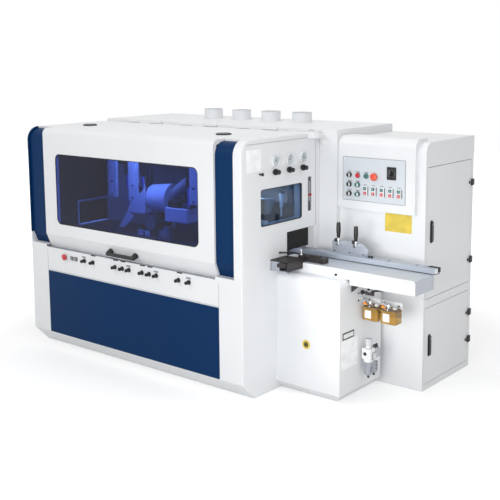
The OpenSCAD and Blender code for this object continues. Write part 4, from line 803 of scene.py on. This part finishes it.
def blackBeyond(material, name, x, code):  # the same paint, with black hinges beyond a plane across x
    m = material.copy()
    m.name = name
    tree = m.node_tree
    shader = tree.nodes["Principled BSDF"]
    old = shader.inputs["Base Color"].links[0].from_socket
    place = add(tree, "ShaderNodeTexCoord")
    axes = add(tree, "ShaderNodeSeparateXYZ", [("Vector", place.outputs["Object"])])
    past = add(tree, "ShaderNodeMath", [(0, axes.outputs["X"])], operation="GREATER_THAN")
    past.inputs[1].default_value = x
    mix = add(tree, "ShaderNodeMix", [("Factor", past.outputs["Value"])], data_type="RGBA")
    tree.links.new(old, mix.inputs[6])  # the colour sockets are inputs 6 and 7, and output 2
    mix.inputs[7].default_value = linear(code)
    tree.links.new(mix.outputs[2], shader.inputs["Base Color"])
    return m


doorFace = 790.3  # drawing x, just outside the doors
hingedPaint = blackBeyond(whitePaint, "white powder coat and black hinges", toFrame((doorFace, 0, 0)).x,
                          "#17181A")
for node in ("electrical_cabinet", "upper_door", "lower_door"):
    paint(node, hingedPaint)

# Black blocks over the fixed leaves of the hinges
hinge = {"in": 158.0, "tall": 45.0, "x0": 789.8, "x1": 803.0, "back": 1561.0}
parts = []
for node in ("upper_door", "lower_door"):
    lo, hi = span(node)
    for z in (lo.z + hinge["in"], hi.z - hinge["in"]):
        parts.append((boxPart((hinge["x0"], hi.y + 0.7, z - hinge["tall"] / 2),
                              (hinge["x1"], hinge["back"], z + hinge["tall"] / 2 - 0.5), 1.5), blackPlastic))
piece("hingeBlocks", parts)
print("console and cabinet dressed")

# Infeed table: two ground plates on a white apron with a rolled front lip
table = {"x0": 0.5, "x1": 970.0, "y0": 450.0, "y1": 675.0, "top": 860.0, "thick": 12.0, "foot": 768.0,
         "joint": 620.0, "pedestal": 504.0, "pedestalTop": 800.0, "lip": 143.0, "lipRise": 2.5, "wall": 6.0,
         "screw": (403.0, 820.0)}


def capScrew(at, axis, r, finish):  # socket head screw
    profile = [(0, 0.35 * r), (0.45 * r, 0.35 * r), (0.5 * r, 0.95 * r), (0.85 * r, 0.95 * r), (r, 0.75 * r),
               (r, -0.4)]
    return lathePart(profile, at, axis, 18), finish


def domeNut(at, axis, r, finish):  # cap nut: six flats under a dome
    flats = [(0, 0.7 * r), (0.9 * r, 0.7 * r), (r, 0.6 * r), (r, -0.4)]
    dome = [(0, 1.5 * r), (0.35 * r, 1.42 * r), (0.62 * r, 1.15 * r), (0.75 * r, 0.7 * r)]
    return [(lathePart(flats, at, axis, 6), finish), (lathePart(dome, at, axis, 20), finish)]


x0, x1, y0, y1, top, wall = (table[k] for k in ("x0", "x1", "y0", "y1", "top", "wall"))
joint, left, foot, shelf = (table[k] for k in ("joint", "pedestal", "foot", "pedestalTop"))
under = top - table["thick"]
parts = [(boxPart((x0, y0 + 2, under), (joint - 0.4, y1, top), 0.8), groundSteel),
         (boxPart((joint + 0.4, y0 + 2, under), (x1 - 1, y1, top), 0.8), groundSteel)]
for lo, hi in (((x0, y0, shelf), (left, y0 + wall, under + 2)),  # apron, shallow over the pedestal
               ((left, y0, foot), (x1, y0 + wall, under + 2)),
               ((x0, y1 - wall, shelf), (left, y1, under + 2)),
               ((left, y1 - wall, foot), (x1, y1, under + 2)),
               ((x1 - wall, y0 + 1, foot), (x1, y1 - 0.5, top - 1)),
               ((left, y0 + 1, foot), (left + wall, y1 - 1, shelf + 2)),
               ((x0, y0 + 1, shelf), (wall, y1 - 1, under + 1))):
    parts.append((boxPart(lo, hi, 1.2), brushedPlate if lo[0] > left else whitePaint))
parts.append((boxPart((table["lip"] + 3, y0 - 6, top - 12), (x1 - 6, y0 + 7, top + table["lipRise"]), 3.5, 4),
              whitePaint))
screwX, screwZ = table["screw"]
parts.append(capScrew((screwX, y0, screwZ), frontward, 8.5, blackPlastic))
piece("infeedTable", parts, replaces="infeed_table")

# Channel that carries the side guide
channel = {"x0": 0.5, "x1": 143.0, "y0": 284.0, "y1": 450.0, "z0": 822.3, "z1": 892.3, "wall": 8.0,
           "slotX0": 84.4, "slotX1": 135.6, "slotZ0": 859.7, "slotZ1": 884.6}
x0, x1, y0, y1, z0, z1, wall = (channel[k] for k in ("x0", "x1", "y0", "y1", "z0", "z1", "wall"))
slotX0, slotX1, slotZ0, slotZ1 = (channel[k] for k in ("slotX0", "slotX1", "slotZ0", "slotZ1"))
parts = [(boxPart((x0, y0, slotZ1 + 0.3), (x1, y1, z1), 1.5), blackIron),
         (boxPart((x0, y0, z0), (wall, y1, z1 - wall + 1), 1.5), brushedPlate),
         (boxPart((x0, y0, z0), (x1, y1, z0 + wall), 1.5), brushedPlate),
         (boxPart((slotX0 - wall, y0, z0 + 2), (slotX0, y1, z1 - 2), 1.0), blackIron),
         (boxPart((slotX1, y0, z0 + 2), (x1, y1, z1 - 2), 1.0), blackIron),
         (boxPart((slotX0 - 2, y0 + 1, slotZ0 - 10), (slotX1 + 2, y1, slotZ0), 0.8), blackIron),
         (boxPart((9, y0 + 3, z0 + 7), (slotX0 - 7, y0 + 7, z1 - 7), 1.0), brushedPlate)]
for y in (y0 + 34, y1 - 36):
    parts.append(capScrew((40, y, z1), upward, 7.0, blackPlastic))
piece("guideChannel", parts)

# Side guide: black casting with a shoe, a lock lever and an adjusting screw
guide = {"x0": 85.0, "x1": 135.0, "y0": 245.0, "z0": 860.3, "armTop": 884.3, "blockTop": 906.0,
         "lever": [(96, 482, 907), (70, 456, 914), (24, 404, 920), (-14, 374, 922)]}
shoe = {"x0": 70.0, "x1": 280.0, "y0": 497.0, "y1": 543.0, "top": 894.3, "nose": 20.0}
x0, x1, z0, armTop, blockTop = (guide[k] for k in ("x0", "x1", "z0", "armTop", "blockTop"))
shoeY, nose = shoe["y0"], shoe["nose"]
turns = [math.pi / 2 * k / 6 for k in range(7)]
shoeLine = [(shoe["x0"], shoeY), (shoe["x1"] - 2 * nose, shoeY)]
shoeLine += [(shoe["x1"] - nose + nose * math.sin(t), shoeY + nose - nose * math.cos(t)) for t in turns]
shoeLine += [(shoe["x1"], shoe["y1"]), (shoe["x0"], shoe["y1"])]
lockPin = [(0, 40), (5, 39.4), (6, 37), (6, 4), (11, 4), (12, 2), (12, 0)]
knob = [(0, 16), (7, 15.6), (10, 13), (10, 3), (8, 0), (4, -2)]
lever = smoothPath(guide["lever"], 6)
leverRadii = [6.5] * 4 + [5.5] * (len(lever) - 8) + [7.5] * 4
parts = [(boxPart((x0, guide["y0"], z0), (x1, (shoeY + shoe["y1"]) / 2, armTop), 2.5, 3), blackIron),
         (platePart(shoeLine, "z", z0, shoe["top"], 3.0, 3, False), blackIron),
         (boxPart((x0 + 8, 472, armTop - 2), (x1 - 8, 502, blockTop), 4.0, 3), blackIron),
         (boxPart((150, shoeY + 8, shoe["top"] - 2), (236, shoeY + 32, blockTop), 4.0, 3), blackIron),
         (lathePart(lockPin, (104, 484, 904), upward, 20), chrome),
         (lathePart(knob, (262, shoeY - 6, 876), frontward, 20), blackPlastic),
         (sweepPart(lever, leverRadii, 12), blackPlastic)]
piece("sideGuide", parts, "side_guide", "side_guide")

# Infeed fence: planed bar with a chip groove, painted end and end stop
fence = {"x0": -130.0, "x1": 985.0, "y0": 665.0, "y1": 730.0, "z0": 860.0, "z1": 898.0, "groove": 5.0,
         "screwY": 700.0, "nuts": (491, 511), "screws": (60, 640, 840)}
x0, x1, y0, y1, z0, z1, groove = (fence[k] for k in ("x0", "x1", "y0", "y1", "z0", "z1", "groove"))
parts = [(boxPart((x0, y0, z0 + groove), (x1, y1, z1), 1.5), fenceSteel),
         # the groove's back is black: painted shade for the dark line under the fence's front face
         (boxPart((x0, y0 + groove, z0 + 0.2), (x1 - 1, y1 - 1, z0 + groove + 1), 0.5), blackIron),
         (boxPart((x1 - 1, y0 + 1, z0 + 6), (x1 + 1.2, y0 + 34, z1 - 1), 0.6), whitePaint),
         (boxPart((x1 - 70, y0 + 35, z1 - 28), (x1 + 3, y1 + 2, z1 + 2), 2.5, 3), blackRubber)]
for x in fence["nuts"]:
    parts += domeNut((x, fence["screwY"], z1), upward, 9.5, blackPlastic)
for x in fence["screws"]:
    parts.append(capScrew((x, fence["screwY"], z1 - 5), upward, 6.5, blackPlastic))
bracket = {"x0": 187.0, "x1": 457.0, "y0": 724.0, "y1": 730.0, "rise": 82.0, "foot": 704.0, "shoulder": 41.0,
           "faceScrews": (222, 300, 344), "footScrews": (212, 330, 436)}
x0, x1, y0, y1, shoulder = (bracket[k] for k in ("x0", "x1", "y0", "y1", "shoulder"))
top = z1 + bracket["rise"]
outline = [(x0, z1), (x1, z1), (x1 + 15, z1 + shoulder), (x1 - shoulder, top), (x0 + 10, top), (x0, top - 10)]
parts += [(platePart(outline, "y", y1, y0, 0.8, 2), brushedPlate),
          (boxPart((x0, bracket["foot"], z1), (x1, y0 + 1, z1 + 6), 1.2), brushedPlate)]
parts += [capScrew((x, y0, z1 + 58), frontward, 5.0, chrome) for x in bracket["faceScrews"]]
parts += [capScrew((x, y0 - 10, z1 + 6), upward, 5.5, blackPlastic) for x in bracket["footScrews"]]
piece("infeedFence", parts, replaces="infeed_fence")

# Clamp levers: nylon grips on plated ferrules
clamp = {"hubY": 688.0, "y": 706.0, "z": 960.0, "tall": 101.0,
         "levers": ((1, 248.0, 1002.0), (2, 384.0, 990.0))}
y, z, tall = clamp["y"], clamp["z"], clamp["tall"]
hub = [(0, 0), (10.5, 0), (12, 1.5), (12, 35.7), (5, 35.7), (5, 42.3), (10, 42.3), (10, 46.5), (8, 48),
       (0, 48)]
ferrule = [(6, 0), (6, 14), (7, 16), (9.5, 18), (10, 20), (10, 30), (8.5, 34), (0, 34)]
grip = [(0, -1), (9.8, -1), (10.5, 2), (13, 0.2 * tall), (15.2, 0.42 * tall), (15.5, 0.55 * tall),
        (14.5, 0.8 * tall), (13.2, 0.96 * tall), (11.8, tall), (0, tall)]
for i, x, gripZ in clamp["levers"]:
    parts = [(lathePart(hub, (x, clamp["hubY"], z), rearward, 32), chrome),
             (lathePart(ferrule, (x, y, z), upward, 28), chrome),
             (lathePart(grip, (x, y, gripZ), upward, 32), blackPlastic),
             (boxPart((x - 27, y - 9, z + 12), (x - 9, y + 9, z + 34), 2.0, 3), blackIron)]
    node = "clamp_lever_%d" % i
    piece("clampLever_%d" % i, parts, node, node)

# Under the table: gusset and a lock lever on the pedestal's side, and the pedestal's bolts and oil plug
lock = {"gusset": [(506, 764), (506, 716), (560, 764)], "knob": (545, 520, 716), "nut": (612, 506, 745),
        "arm": ((580, 512, 704), (640, 530, 728)), "post": ((600, 506, 728), (624, 536, 768)),
        "lever": [(612, 520, 724), (650, 522, 738), (706, 526, 750)],
        "bolts": ((500, 562, 692), (500, 562, 643))}
plug = {"at": (242, 350, 354), "ring": [(0, 2.2), (20, 2.2), (24, 3.0), (28.5, 3.0), (30, 1.6), (30, -0.5)],
        "seat": [(9, 3), (17, 3), (17.5, 2), (9, 2), (9, 3)], "hex": [(0, 4.2), (7, 4), (8, 2)]}
lockKnob = [(0, 0), (11, 2), (15, 8), (15, 15), (11, 21), (6, 23), (6, 40), (0, 40)]
parts = [(platePart(lock["gusset"], "y", 478, 470, 0.6, 2), blackIron),
         (lathePart(lockKnob, lock["knob"], endward, 24), blackPlastic),
         (boxPart(*lock["arm"], 3.0, 3), blackIron),
         (sweepPart(smoothPath(lock["lever"], 6), 7.0, 12), blackPlastic),
         (boxPart(*lock["post"], 2.0), castAluminium)]
parts += domeNut(lock["nut"], frontward, 9.0, blackPlastic)
parts += [capScrew(at, endward, 5.5, blackPlastic) for at in lock["bolts"]]
parts += [(lathePart(plug["ring"], plug["at"], frontward, 40), yellowPlate),
          (lathePart(plug["seat"], plug["at"], frontward, 32), blackPlastic),
          (lathePart(plug["hex"], plug["at"], frontward, 6), blackPlastic)]
piece("pedestalFittings", parts)
print("table, fence and guide dressed")

# Lubricators: moulded oil reservoirs with clear lids and pump levers, on a folded back plate
oil = {"first": 514.0, "pitch": 134.0, "wide": 112.0, "front": 588.0, "back": 664.0, "low": 514.0,
       "high": 598.0, "ribs": 5, "screws": ((738, 623), (520, 634), (636, 632))}
cup = [(0, 0), (14, 0), (14, 9), (12, 13), (5, 14), (0, 14)]
pump = [(0, 0), (13, 0), (13, 12), (9, 16), (9, 28), (7, 33), (0, 33)]
bleed = [(0, 0), (7, 0), (7, 8), (4, 10), (0, 10)]
leverEnd = [(0, -4), (6, -3), (8, 2), (8, 8), (6, 11), (0, 12)]
back, y0, z0, z1 = (oil[k] for k in ("back", "front", "low", "high"))
parts = [(boxPart((500, back, 546), (762, back + 6, 646), 1.2), whitePaint),
         (boxPart((500, back - 38, 580), (505, back + 38, 646), 1.2), whitePaint)]
parts += [capScrew((x, back, z), frontward, 6.0, blackPlastic) for x, z in oil["screws"]]
for x0 in (oil["first"], oil["first"] + oil["pitch"]):
    x1 = x0 + oil["wide"]
    parts += [(boxPart((x0, y0, z0), (x1, back, z1), 7.0, 4), amberOil),
              (boxPart((x0 - 2, y0 - 2, z1 - 5), (x1 + 2, back, z1 + 2), 2.0), amberOil)]
    for k in range(oil["ribs"]):
        x = x0 + 73 + 8 * k
        parts.append((boxPart((x, y0 - 1.8, z0 + 9), (x + 3.2, y0 + 1, z1 - 8), 0.8), amberOil))
    arm = [(x0 - 11, 600, 651), (x0 + 6, 600, 648), (x0 + 44, 614, 641)]
    tag = [(x0 - 3, 615), (x0 + 8, 634), (x0 + 35, 613)]
    parts += [(boxPart((x0 + 19, y0 - 0.7, z0 + 16), (x0 + 65, y0 + 0.4, z0 + 68), 0.2), whitePlastic),
              (boxPart((x0 + 5, y0 + 5, z1 + 1), (x1 - 5, back - 4, z1 + 14), 4.0, 3), clearPlastic),
              (lathePart(cup, (x0 + 86, 622, z1 + 12), upward, 28), whitePlastic),
              (lathePart(pump, (x0 + 40, 620, z1 + 4), upward, 28), chrome),
              (lathePart(bleed, (x0 + 64, 640, z1 + 12), upward, 20), brassPlug),
              (sweepPart(arm, [7.0, 6.0, 5.0], 14), greyPlastic),
              (lathePart(leverEnd, (x0 - 6, 600, 650), (-1, 0, 0.1), 18), whitePlastic),
              (platePart(tag, "y", 604, 596, 1.0, 2), tagPlastic)]
piece("lubricators", parts, replaces="lubricators")

# Air unit: filter and lubricator with smoked bowls, a square gauge and a regulator knob
air = {"x": 553.0, "filterY": 606.0, "oilerY": 672.0, "bowl": 26.0, "top": 329.0, "knob": 22.0,
       "knobZ": 350.0, "inlet": (546, 573, 294), "ports": (645, 672),
       "oilerHead": ((522, 641, 254), (584, 704, 316)), "oilerLid": ((526, 646, 314), (580, 700, 322)),
       "wallPlate": ((500, 640, 270), (524, 690, 300)),
       "gauge": ((584, 597, 257), (592, 639, 303)), "gaugeFace": ((591, 601, 261), (592.6, 635, 299)),
       "gaugeHand": [(617, 280), (619, 280), (630, 293), (628.5, 294)],
       "studs": ((598, 200), (598, 181), (663, 223), (663, 202), (663, 181))}
smoked = clearSheet("smoked polycarbonate", "#C4C9D1", 0.10, 1.45, weight=0.60)
mid, r = Vector((air["x"], air["filterY"], 0)), air["bowl"]
bowl = [(0, 146), (12, 146), (20, 150), (r - 1, 160), (r, 170), (r, 240), (0, 240)]
bowlNut = [(0, 238), (r + 3, 238), (r + 5, 242), (r + 5, 254), (r + 2, 259), (0, 259)]
drain = [(0, 127), (5, 127), (8, 131), (8, 142), (10, 149), (0, 149)]
inlet = [(0, 9), (5, 9), (6, 2), (11, 2), (12, 0), (12, -1)]
port = [(0, 0), (10, 0), (10, 14), (8, 18), (8, 28), (5, 33), (0, 33)]
parts = [(boxPart((520, 573, 257), (586, 639, air["top"]), 7.0, 4), whitePlastic),
         (boxPart(*air["oilerHead"], 6.0, 4), castAluminium),
         (boxPart(*air["oilerLid"], 2.5, 3), whitePlastic),
         (boxPart(*air["wallPlate"], 2.0), whitePaint),
         (rodPart(mid + Vector((0, 0, air["top"] - 1)), upward, 15.5, 19, 32), whitePlastic),
         (lathePart(inlet, air["inlet"], frontward, 24), blackPlastic)]
for y in (air["filterY"], air["oilerY"]):
    at = (air["x"], y, 0)
    parts += [(lathePart(bowl, at, upward), smoked), (lathePart(bowlNut, at, upward), whitePlastic),
              (lathePart(drain, at, upward, 20), blackPlastic)]
for y, z in air["studs"]:
    parts.append((lathePart([(0, 3), (3.5, 2.6), (5, 1), (5, -3)], (577.5, y, z), endward, 16), blackPlastic))
parts += [(lathePart(port, (572, y, 313), upward, 24), blackPlastic) for y in air["ports"]]
parts += [(boxPart(*air["gauge"], 2.0, 3), greyPlastic), (boxPart(*air["gaugeFace"], 0.3), whitePlastic),
          (platePart(air["gaugeHand"], "x", 592.5, 593.2), blackPlastic)]
piece("airUnit", parts, replaces="air_unit")
lo, hi = span("air_unit_knob")
low = air["knobZ"]
grip = flutedOutline(air["x"], air["filterY"], air["knob"], 1.0, 20)
parts = [(lathePart([(0, lo.z), (5, lo.z), (5, low), (0, low)], mid, upward, 20), whitePlastic),
         (platePart(grip, "z", low, hi.z, 2.0, 3), greyPaint)]
piece("airUnitKnob", parts, "air_unit_knob", "air_unit_knob")

# Infeed end: pressure gauges, regulator knobs, air valve, a plain sheet and the thickness rule
gauge = {"ys": (332.0, 482.0, 632.0), "z": 1530.0, "radius": 35.0, "ticks": 21, "hand": 150.0}


def dialMark(y, z, turn, r0, r1, half):  # outline of a radial mark on a gauge, turned from straight down
    along, across = (math.sin(turn), -math.cos(turn)), (math.cos(turn), math.sin(turn))
    return [(y + along[0] * r + across[0] * s, z + along[1] * r + across[1] * s)
            for r, s in ((r0, -half), (r1, -half), (r1, half), (r0, half))]


r, z, parts = gauge["radius"], gauge["z"], []
case = [(0, 15), (r - 5, 15), (r - 4, 20), (r - 2, 22), (r, 19), (r, 4), (r - 3, 0), (r - 3, -0.5)]
glass = [(0, 19), (r - 4.5, 19), (r - 4.5, 18.2), (0, 18.2)]
for y in gauge["ys"]:
    at = (0, y, z)
    parts += [(lathePart(case, at, endward, 48), whitePlastic),
              (lathePart(glass, at, endward, 48), clearPlastic)]
    for k in range(gauge["ticks"]):
        turn = math.radians(45 + 270 * k / (gauge["ticks"] - 1))
        mark = dialMark(y, z, turn, 20 if k % 5 == 0 else 23, 27, 0.55)
        parts.append((platePart(mark, "x", 14.9, 15.4), blackPlastic))
    hand = dialMark(y, z, math.radians(gauge["hand"]), -7, 22, 0.9)
    parts += [(platePart(hand, "x", 15.6, 16.4), blackPlastic),
              (lathePart([(0, 17.4), (4, 17.2), (4.5, 15)], at, endward, 20), blackPlastic)]
piece("pressureGauges", parts, replaces="gauges")
nut = [(15.6, 0), (16.5, 0), (16.5, 8), (20, 9), (20.5, 11), (20.5, 20), (19, 22), (15.6, 22), (15.6, 0)]
parts = []
for i, y in enumerate(gauge["ys"], 1):
    node = "regulator_knob_%d" % i
    z = middle(node).z
    parts.append((lathePart(nut, (0, y, z), endward, 36), blackPlastic))
    knob = [(rodPart((-20, y, z), endward, 5, 21, 20), chrome),
            (platePart(flutedOutline(y, z, 15, 1.1, 18), "x", 2, 46, 1.6, 3), blackPlastic)]
    piece("regulatorKnob_%d" % i, knob, node, node)
at = middle("air_valve_knob")
valve = [(0, -20), (5, -20), (5, 0.5), (5.5, 2), (5.5, 19), (8.5, 22), (11, 25), (11, 30), (9, 32), (0, 32.4)]
piece("airValveKnob", [(lathePart(valve, (0, at.y, at.z), endward, 28), blackPlastic)], "air_valve_knob",
      "air_valve_knob")
rule = {"low": 1155.0, "high": 1388.0, "first": 6.0, "step": 10.0, "marks": 23, "x": 1.0,
        "pointer": ((3.6, 703, 1257), (7.2, 737, 1273))}
flat = {"sheet": ((1, 50, 1478), (2.1, 197, 1620)), "jointTop": ((1, 52, 1653), (1.9, 792, 1655)),
        "jointRear": ((1, 790, 1046), (1.9, 792, 1655)), "plateFrame": ((500, 382, 419), (501.6, 513, 466)),
        "plate": ((501, 391, 428), (502.2, 504, 457)), "lowSheet": ((499.8, 370, 225), (500.7, 555, 415))}
low, high, x = rule["low"], rule["high"], rule["x"]
ruleGrey = moulded("etched rule", "#63676C", 0.45)
parts += [(boxPart(*flat["sheet"], 0.2), paperWhite),
          (boxPart(*flat["jointTop"], 0), greyPlastic),  # joint lines of the end's skin
          (boxPart(*flat["jointRear"], 0), greyPlastic),
          (boxPart((x, 700, low), (2.8, 709, high), 0.4), ruleGrey),
          (boxPart((x, 721, low), (2.8, 737, high), 0.4), ruleGrey),
          (boxPart((0, slit["y0"], low), (2.2, slit["y1"], slit["z0"] - 0.5), 0.2), blackRubber),
          (boxPart((0, slit["y0"], slit["z1"] + 0.5), (2.2, slit["y1"], high), 0.2), blackRubber),
          (boxPart(*flat["plateFrame"], 0.6), blackPlastic),  # plain plates on the pedestal
          (boxPart(*flat["plate"], 0.3), whitePlastic),
          (boxPart(*flat["lowSheet"], 0.2), paperWhite)]
for k in range(rule["marks"]):
    z = low + rule["first"] + k * rule["step"]
    parts.append((boxPart((2, 722, z - 0.7), (3.1, 734 if k % 5 == 0 else 729, z + 0.7), 0), whitePlastic))
piece("endFittings", parts)
piece("thicknessPointer", [(boxPart(*rule["pointer"], 1.4), redPlastic)], "feed_beam")

# Front strip: spindle adjusters, rocker switches on a backing plate, and small plain plates
strip = {"z": 728.0, "adjusters": (455, 550, 758, 827, 897, 1027, 1095, 1170, 1405, 1498),
         "rockers": (1591, 1636), "plates": (1503, 1032, 761, 459), "stop": 1713}
z = strip["z"]
adjuster = [(0, 27), (5.5, 27), (6.5, 34), (11, 34), (12, 32), (12, 6), (15.5, 5), (16.8, 3), (16.8, -0.5)]
parts = [(lathePart(adjuster, (-x, 0, z), frontward, 32), blackPlastic) for x in strip["adjusters"]]
backing = roundOutline(-strip["stop"] - 34, -strip["rockers"][0] + 30, z - 29, z + 29, 10)
parts.append((platePart(backing, "y", 0, -2.4, 1.0, 2, False), whitePlastic))
for x in strip["rockers"]:
    parts += [(boxPart((-x - 17, -7, z - 14), (-x + 17, -2, z + 14), 1.5), blackPlastic),
              (boxPart((-x - 12, -10, z - 9), (-x + 12, -6, z + 9), 1.5), greyPlastic)]
collar = [(12, 1.5), (19, 1.5), (19, 3.6), (18, 4.4), (12, 4.4), (12, 1.5)]
parts.append((lathePart(collar, (-strip["stop"], 0, z), frontward, 36), greyPlastic))
for x in strip["plates"]:
    parts.append((boxPart((-x - 21, -1.0, z + 21), (-x + 21, 0.2, z + 33), 0.4), greyPlastic))
piece("stripAdjusters", parts, replaces="strip_adjusters")
print("lubricators, air unit, gauges and strip dressed")

# Inside the hood: cross rail with chip hoods, air cylinders and a ribbed dust hose, the outfeed curtain and
# black foam; the curtain and the foam are also painted shade for the unlit inside
rail = {"x0": -1770.0, "x1": -690.0, "y0": 470.0, "y1": 505.0, "z0": 1392.0, "z1": 1426.0, "wall": 781.0,
        "brackets": (-1750, -1250, -750),
        "slides": ((-1716, -1626, 1134), (-1492, -1396, 1118), (-858, -776, 1147)),
        "cylinders": ((-1510, 1213, 1316), (-1342, 1225, 1318), (-876, 1130, 1270)), "rodFoot": 1080.0,
        "hose": [(-1120, 562, 1175), (-1040, 548, 1230), (-940, 552, 1300), (-850, 590, 1372),
                 (-805, 650, 1440), (-800, 720, 1470), (-800, 781, 1474)]}
y0, y1, z0, z1, rodFoot = (rail[k] for k in ("y0", "y1", "z0", "z1", "rodFoot"))
parts = [(boxPart((rail["x0"], y0, z0), (rail["x1"], y1, z1), 2.0), blackPaint)]
for x in rail["brackets"]:
    parts.append((boxPart((x, y1 - 2, z0 + 4), (x + 40, rail["wall"], z1 - 4), 2.0), blackPaint))
for left, right, low in rail["slides"]:
    parts.append((boxPart((left, 448, low), (right, y0 + 1, z1 - 4), 3.0), whitePaint))
    parts += [capScrew(((left + right) / 2, 448, low + up), frontward, 7.0, blackPlastic) for up in (22, 120)]
for x, low, high in rail["cylinders"]:
    parts += [(rodPart((x, 462, low), upward, 14, high - low), chrome),
              (rodPart((x, 462, rodFoot), upward, 5, low - rodFoot, 16), chrome),
              (boxPart((x - 16, 448, high - 4), (x + 16, y0 + 2, z0 + 4), 2.0), blackPaint)]
chip = {"side": [(-1512, 1030), (-1465, 1112), (-1310, 1232), (-1316, 1034)],
        "slope": [(-1512, 1030), (-1440, 1006), (-1550, 905), (-1618, 901)],
        "floor": ((-1500, 452, 1032), (-1318, 660, 1040)), "drum": (-1330, 562, 1142),
        "box": ((-1096, 430, 1004), (-872, 580, 1110)), "lid": ((-1070, 440, 1108), (-960, 560, 1160)),
        "block": ((-938, 452, 1108), (-880, 540, 1150)), "tabs": (-1395, -1323)}
drum = [(0, 0), (96, 0), (100, 4), (112, 214), (0, 214)]
parts += [(platePart(chip["side"], "y", 454, 447, 1.0, 2), whitePaint),
          (platePart(chip["slope"], "y", 462, 450, 1.0, 2), whitePaint),
          (boxPart(*chip["floor"], 1.5), whitePaint),
          (lathePart(drum, chip["drum"], (1, 0, 0.06), 40), whitePaint),
          (boxPart(*chip["box"], 10.0, 3), whitePaint),
          (boxPart(*chip["lid"], 6.0, 3), blackIron),
          (boxPart(*chip["block"], 4.0), greyIron)]
for x in chip["tabs"]:
    parts.append((boxPart((x - 26, 470, 862), (x + 26, 478, 900), 2.0), whitePaint))
hose = smoothPath(rail["hose"], 14)
parts.append((sweepPart(hose, [46.0 if k % 2 else 42.0 for k in range(len(hose))], 24), greyPlastic))
piece("chipHoods", parts)
outfeed = {"x": -2099.5, "frame": 14.0}
x, wide = outfeed["x"], outfeed["frame"]
y0, y1, z0, z1 = (mouth[k] for k in ("y0", "y1", "z0", "z1"))
parts = [(boxPart((x, y0 - wide, z1), (x + 10, y1 + 10, z1 + wide), 1.5), whitePaint),
         (boxPart((x, y0 - wide, z0 + 2), (x + 10, y0, z1 + 2), 1.5), whitePaint)]
# black rubber strips across the outfeed mouth, also painted shade: they keep the mouth dark through the
# window
step = (y1 - y0) / mouth["strips"]
for i in range(mouth["strips"]):
    y = y0 + i * step
    parts.append((boxPart((x + 2, y + 0.6, mouth["bottom"] + (i % 3) * 1.5),
                          (x + 6, y + step - 0.6, z1 + 4), 0.8), blackRubber))
piece("outfeedShadeCurtain", parts)
# black foam on the outfeed wall and the rear wall, put in as painted shade for the unlit inside of the hood
lining = {"overMouth": ((-2099.7, 130, 1062), (-2094, 776, 1640)),
          "beforeMouth": ((-2099.7, 130, 862), (-2094, 448, 1062)),
          "rearWall": ((-2090, 770, 1400), (-80, 779.5, 1640))}
piece("foamShadeLining", [(boxPart(lo, hi, 2.0), foam) for lo, hi in lining.values()])

# Lifting cylinder and suction funnel that ride on the feed beam
ram = {"x": -200.0, "y": 664.0, "foot": 1101.0, "low": 1168.0, "long": 98.0, "barrel": 14.0, "rod": 6.0,
       "cap": ((-214, 655, 1258), (-186, 681, 1276)), "funnel": (-282, 590, 1124),
       "arm": ((-300, 640, 1180), (-264, 682, 1236))}
x, y, low = ram["x"], ram["y"], ram["low"]
funnel = [(0, 0), (44, 0), (48, 4), (76, 104), (76, 112), (70, 118), (0, 118)]
parts = [(rodPart((x, y, low), upward, ram["barrel"], ram["long"]), whitePaint),
         (rodPart((x, y, ram["foot"]), upward, ram["rod"], low + 1 - ram["foot"], 16), whitePaint),
         (lathePart(funnel, ram["funnel"], upward, 40), castAluminium),
         (boxPart(*ram["arm"], 3.0), castAluminium),
         (boxPart(*ram["cap"], 2.0), blackPaint)]
piece("beamCylinder", parts, "feed_beam")
print("inside dressed")
